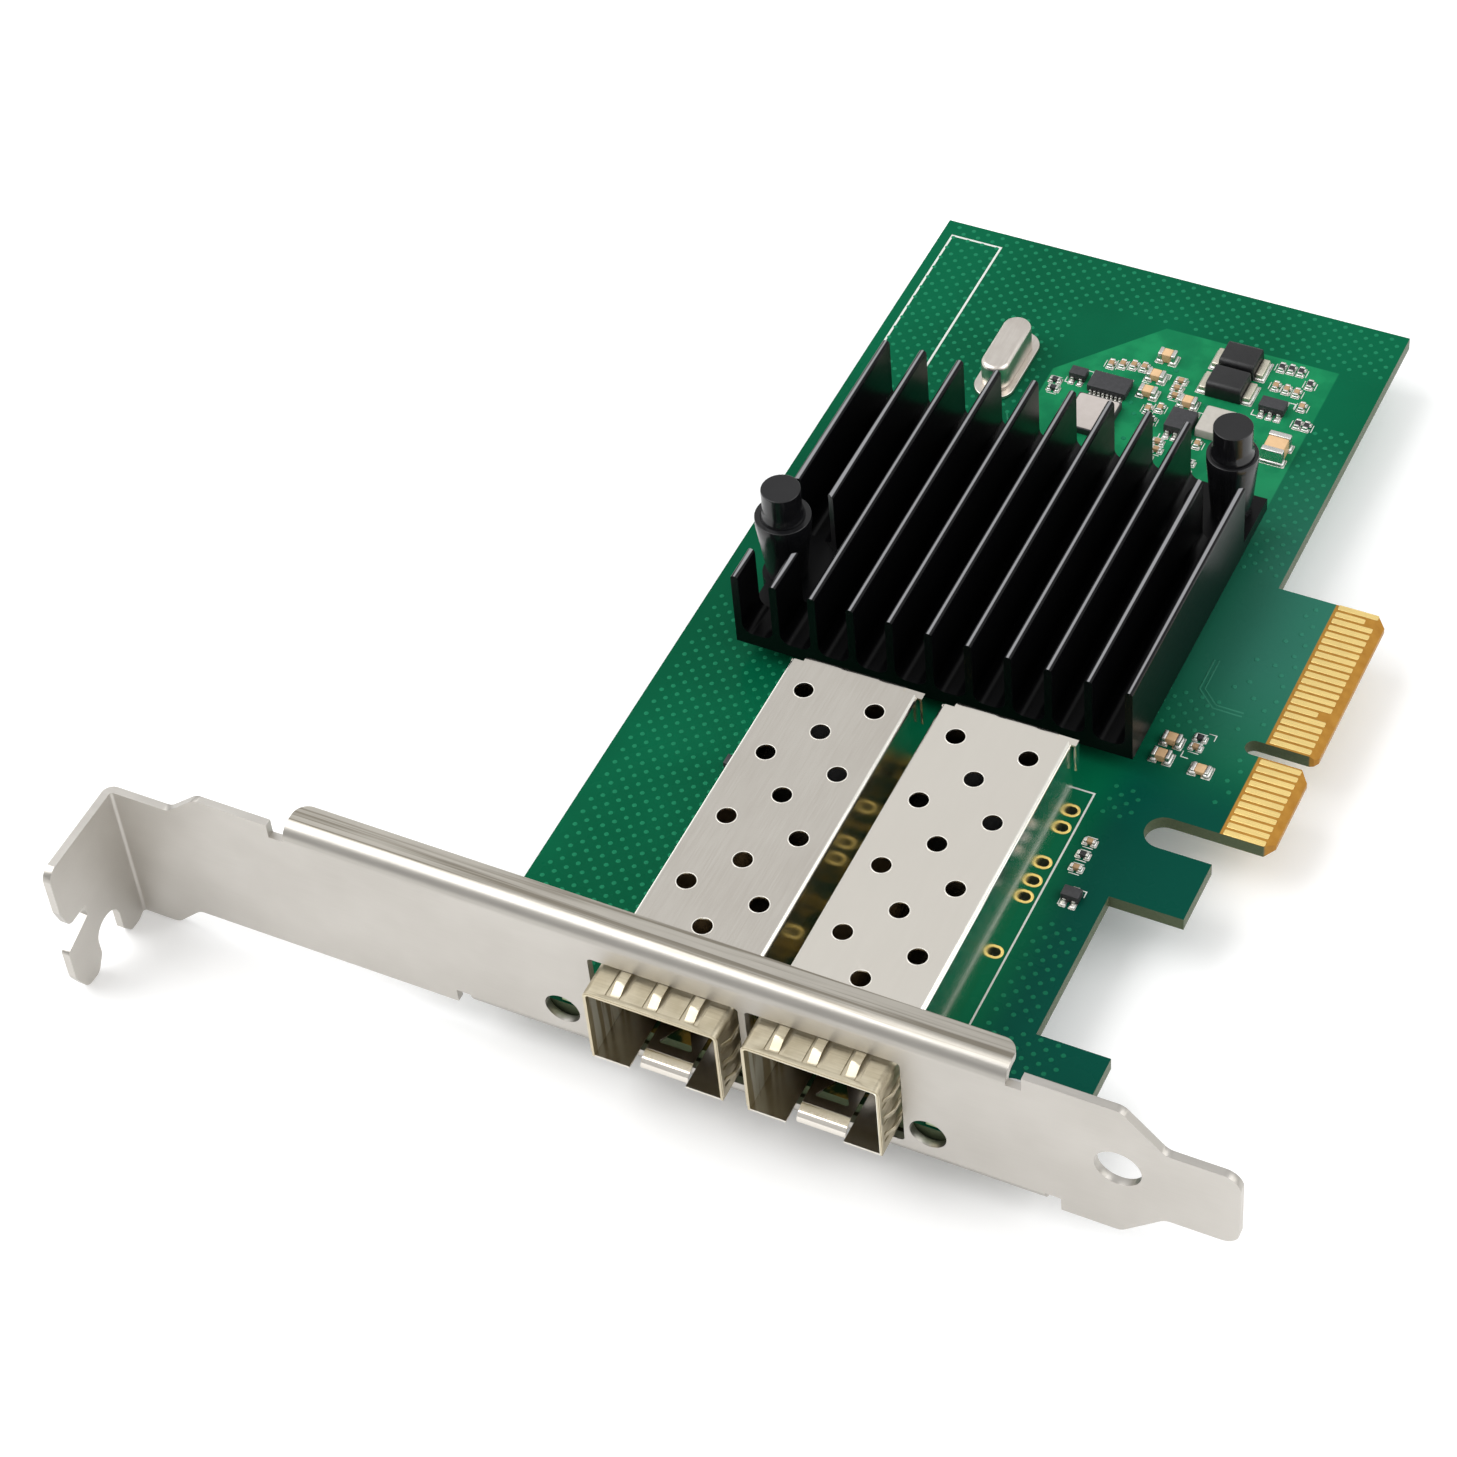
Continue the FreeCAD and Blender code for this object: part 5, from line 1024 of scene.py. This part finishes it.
class CARD_OT_crystal(bpy.types.Operator):
    """Drawn crystal can with a rounded top edge, on its flanged base"""
    bl_idname = "card.crystal"
    bl_label = "Crystal"

    def execute(self, context):
        low, high = node_box("crystal_can")
        middle = (low + high) / 2
        half_wide, half_long = (high[0] - low[0]) / 2, (high[1] - low[1]) / 2
        centre, direction = stadium(half_long, half_wide)
        bend = np.radians(np.linspace(0, 90, 8))
        inset = np.concatenate([[0.0, 0.0], CAN_EDGE * (1 - np.cos(bend)), [half_wide * 0.7]])
        level = np.concatenate([[low[2], low[2] + CAN_FOOT],
                                high[2] - CAN_EDGE + CAN_EDGE * np.sin(bend), [high[2]]])
        plan = middle[:2] + centre + (half_wide - inset)[:, None, None] * direction
        rings = with_level(plan, level[:, None, None])[None]
        piece = skin("crystal_can_drawn", [(rings, True, False)], "crystal_can")
        stand_for(piece, "crystal_metal", "crystal_can")
        softened("crystal_base", "crystal_can", "crystal_metal", 0.12, 3)
        return {"FINISHED"}


def block_piece(node, finish, slot, radii, foot=0.05, steps=3):
    """Stands rounded blocks in for each of a node's plain solids."""
    rings = rounded_boxes(*solid_boxes(node), radii, steps, foot)
    stand_for(skin(node + "_finished", [rings], finish), slot, node)


LABEL_INSET, LABEL_SUNK, LABEL_HIGH = 0.15, 0.02, 0.06


class CARD_OT_packages(bpy.types.Operator):
    """Moulded chips with their leads, and the blank label on one of them"""
    bl_idname = "card.packages"
    bl_label = "Moulded chips"

    def execute(self, context):
        for node in ("memory_chip", "regulator", "power_chip", "transistors", "flash_chip"):
            block_piece(node, "chip_epoxy", "mould_black", 0.07)
        block_piece("shielded_inductor", "ferrite_moulding", "choke_grey", (0.3, 0.3, 0.12),
                    steps=4)
        low, high = node_box("flash_chip")
        label = rounded_boxes((low[0] + LABEL_INSET, low[1] + LABEL_INSET, high[2] - LABEL_SUNK),
                              (high[0] - LABEL_INSET, high[1] - LABEL_INSET, high[2] + LABEL_HIGH),
                              (0.3, 0.3, 0.03))
        piece = skin("blank_label", [label], "paper_label")
        for name in ("memory_chip", "regulator", "power_chip", "transistor"):
            softened(name + "_leads", "lead_tin", "tin_leads", 0.05)
        return {"FINISHED"}


class CARD_OT_inductors(bpy.types.Operator):
    """Moulded power inductors with their solder tags"""
    bl_idname = "card.inductors"
    bl_label = "Power inductors"

    def execute(self, context):
        block_piece("power_inductors", "coil_epoxy", "coil_black", (0.25, 0.6, 0.6), 0.1, 5)
        block_piece("inductor_tags", "tag_tin", "solder_ends", 0.18)
        return {"FINISHED"}


class CARD_OT_chip_parts(bpy.types.Operator):
    """Chip capacitors and resistors with rounded solder ends"""
    bl_idname = "card.chip_parts"
    bl_label = "Chip parts"

    def execute(self, context):
        block_piece("large_capacitors", "tan_ceramic", "ceramic_tan", 0.1)
        block_piece("small_capacitors", "capacitor_ceramic", "ceramic_tan", 0.05)
        block_piece("chip_resistors", "resistor_glaze", "resistor_black", 0.04)
        block_piece("large_capacitor_ends", "solder", "solder_ends", 0.14)
        block_piece("small_capacitor_ends", "solder", "solder_ends", 0.09)
        block_piece("chip_resistor_ends", "solder", "solder_ends", 0.09)
        return {"FINISHED"}


# Nodes whose solids are soldered down: fillet reach along X and Y, and height above the board
SOLDERED = [
    ("large_capacitor_ends", 0.22, 0.42), ("small_capacitor_ends", 0.14, 0.24),
    ("chip_resistor_ends", 0.14, 0.24), ("inductor_tags", 0.25, 0.3),
    ("memory_chip_leads", 0.07, 0.16), ("regulator_leads", 0.14, 0.2),
    ("power_chip_leads", 0.14, 0.2), ("transistor_leads", 0.14, 0.2)]
# How far a pad stands out of the solder, and its lower and upper face
PAD_MARGIN, PAD_LEVELS = 0.05, (-0.03, 0.035)


class CARD_OT_solder(bpy.types.Operator):
    """Solder fillets round the end caps and lead feet, on wider tinned pads"""
    bl_idname = "card.solder"
    bl_label = "Solder and pads"

    def execute(self, context):
        fillets, pads = [], []
        for node, reach, high in SOLDERED:
            lows, highs = solid_boxes(node)
            lows[:, :2] -= reach
            highs[:, :2] += reach
            lows[:, 2], highs[:, 2] = -high, high
            fillets.append(rounded_boxes(lows, highs, (reach * 1.6, reach * 1.6, high * 0.9)))
            lows[:, :2] -= PAD_MARGIN
            highs[:, :2] += PAD_MARGIN
            lows[:, 2], highs[:, 2] = PAD_LEVELS
            pads.append(rounded_boxes(lows, highs, (0.12, 0.12, 0.015)))
        piece = skin("solder_fillets", fillets, "solder")
        piece = skin("tinned_pads", pads, "lead_tin")
        return {"FINISHED"}


class CARD_OT_lamps(bpy.types.Operator):
    """Status lights behind the bracket's round holes"""
    bl_idname = "card.lamps"
    bl_label = "Status lights"

    def execute(self, context):
        block_piece("light_cases", "lamp_case", "light_case", 0.1)
        block_piece("light_lenses", "lamp_lens", "light_lens", 0.2)
        return {"FINISHED"}


# ---- Studio, in metres ----
FLOOR_REACH = 3.0
KEY_PLACE, FILL_PLACE, LIGHT_SIZE = (-0.55, -0.15, 0.75), (0.75, 0.15, 0.6), 0.8
# The room is 0.85 bright where a direction's height is -0.1, and fully bright straight overhead.
ROOM_SHADE = (("From Min", -0.1), ("From Max", 1.0), ("To Min", 0.85), ("To Max", 1.0))


class CARD_OT_studio(bpy.types.Operator):
    """Pale floor, soft lights and the camera"""
    bl_idname = "card.studio"
    bl_label = "Studio"

    def execute(self, context):
        looks, scene = context.scene.studio_looks, context.scene
        scene.view_settings.view_transform = "Standard"
        self.floor(tuple(looks.floor_colour), looks.floor_glow)
        self.room(looks.world_strength)
        self.light("key_light", KEY_PLACE, looks.key_power)
        self.light("fill_light", FILL_PLACE, looks.fill_power)
        data = bpy.data.cameras.new("studio_camera")
        data.sensor_width, data.lens = 36.0, looks.lens
        data.clip_start, data.clip_end = 0.01, 10.0
        camera = bpy.data.objects.new("studio_camera", data)
        camera.location = looks.position
        camera.rotation_euler = [math.radians(angle) for angle in looks.turn]
        scene.collection.objects.link(camera)
        scene.camera = camera
        return {"FINISHED"}

    @staticmethod
    def floor(colour, glow):
        """A wide sheet of pale paper that gives off a little light."""
        mesh = bpy.data.meshes.new("studio_floor")
        mesh.from_pydata([(-FLOOR_REACH, -FLOOR_REACH, 0), (FLOOR_REACH, -FLOOR_REACH, 0),
                          (FLOOR_REACH, FLOOR_REACH, 0), (-FLOOR_REACH, FLOOR_REACH, 0)],
                         [], [(0, 1, 2, 3)])
        floor = bpy.data.objects.new("studio_floor", mesh)
        bpy.context.scene.collection.objects.link(floor)
        finish = mottled("floor_paper", scaled(colour, 0.99), colour, 60.0, roughness=(0.85, 0.95),
                         Emission_Strength=glow, Emission_Color=(*colour, 1))
        mesh.materials.append(finish.material)

    @staticmethod
    def room(strength):
        """Even light from all round, a little weaker from the horizon than from overhead."""
        world = bpy.data.worlds.new("studio_room")
        world.use_nodes = True
        nodes, links = world.node_tree.nodes, world.node_tree.links
        height = nodes.new("ShaderNodeSeparateXYZ")
        links.new(nodes.new("ShaderNodeTexCoord").outputs["Generated"], height.inputs[0])
        shade = nodes.new("ShaderNodeMapRange")
        for socket, value in ROOM_SHADE:
            shade.inputs[socket].default_value = value
        links.new(height.outputs["Z"], shade.inputs["Value"])
        background = nodes["Background"]
        links.new(shade.outputs[0], background.inputs["Color"])
        background.inputs["Strength"].default_value = strength
        bpy.context.scene.world = world

    @staticmethod
    def light(name, place, power):
        """A square soft light that looks at the middle of the card."""
        data = bpy.data.lights.new(name, "AREA")
        data.size, data.energy = LIGHT_SIZE, power
        lamp = bpy.data.objects.new(name, data)
        lamp.location = place
        lamp.rotation_euler = (-lamp.location).to_track_quat("-Z", "Y").to_euler()
        bpy.context.scene.collection.objects.link(lamp)


STEPS = (
    CARD_OT_board, CARD_OT_copper, CARD_OT_lands, CARD_OT_print, CARD_OT_contacts,
    CARD_OT_bracket, CARD_OT_cages, CARD_OT_sockets, CARD_OT_heatsink, CARD_OT_pins,
    CARD_OT_crystal, CARD_OT_packages, CARD_OT_inductors, CARD_OT_chip_parts, CARD_OT_solder,
    CARD_OT_lamps, CARD_OT_studio)


class CARD_PT_panel(bpy.types.Panel):
    """Lists the card's steps in the 3D view's sidebar"""
    bl_label = "Network Card"
    bl_idname = "CARD_PT_panel"
    bl_space_type = "VIEW_3D"
    bl_region_type = "UI"
    bl_category = "Network Card"

    def draw(self, context):
        for step in STEPS:
            self.layout.operator(step.bl_idname)
        for group in (context.scene.card_looks, context.scene.studio_looks):
            for name in group.__annotations__:
                self.layout.prop(group, name)


CLASSES = (CardLooks, StudioLooks, *STEPS, CARD_PT_panel)


def register():
    for item in CLASSES:
        bpy.utils.register_class(item)
    bpy.types.Scene.card_looks = bpy.props.PointerProperty(type=CardLooks)
    bpy.types.Scene.studio_looks = bpy.props.PointerProperty(type=StudioLooks)


def unregister():
    del bpy.types.Scene.studio_looks
    del bpy.types.Scene.card_looks
    for item in reversed(CLASSES):
        bpy.utils.unregister_class(item)


def main():
    """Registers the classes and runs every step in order."""
    register()
    for step in STEPS:
        group, name = step.bl_idname.split(".")
        getattr(getattr(bpy.ops, group), name)()


if __name__ == "__main__":
    main()
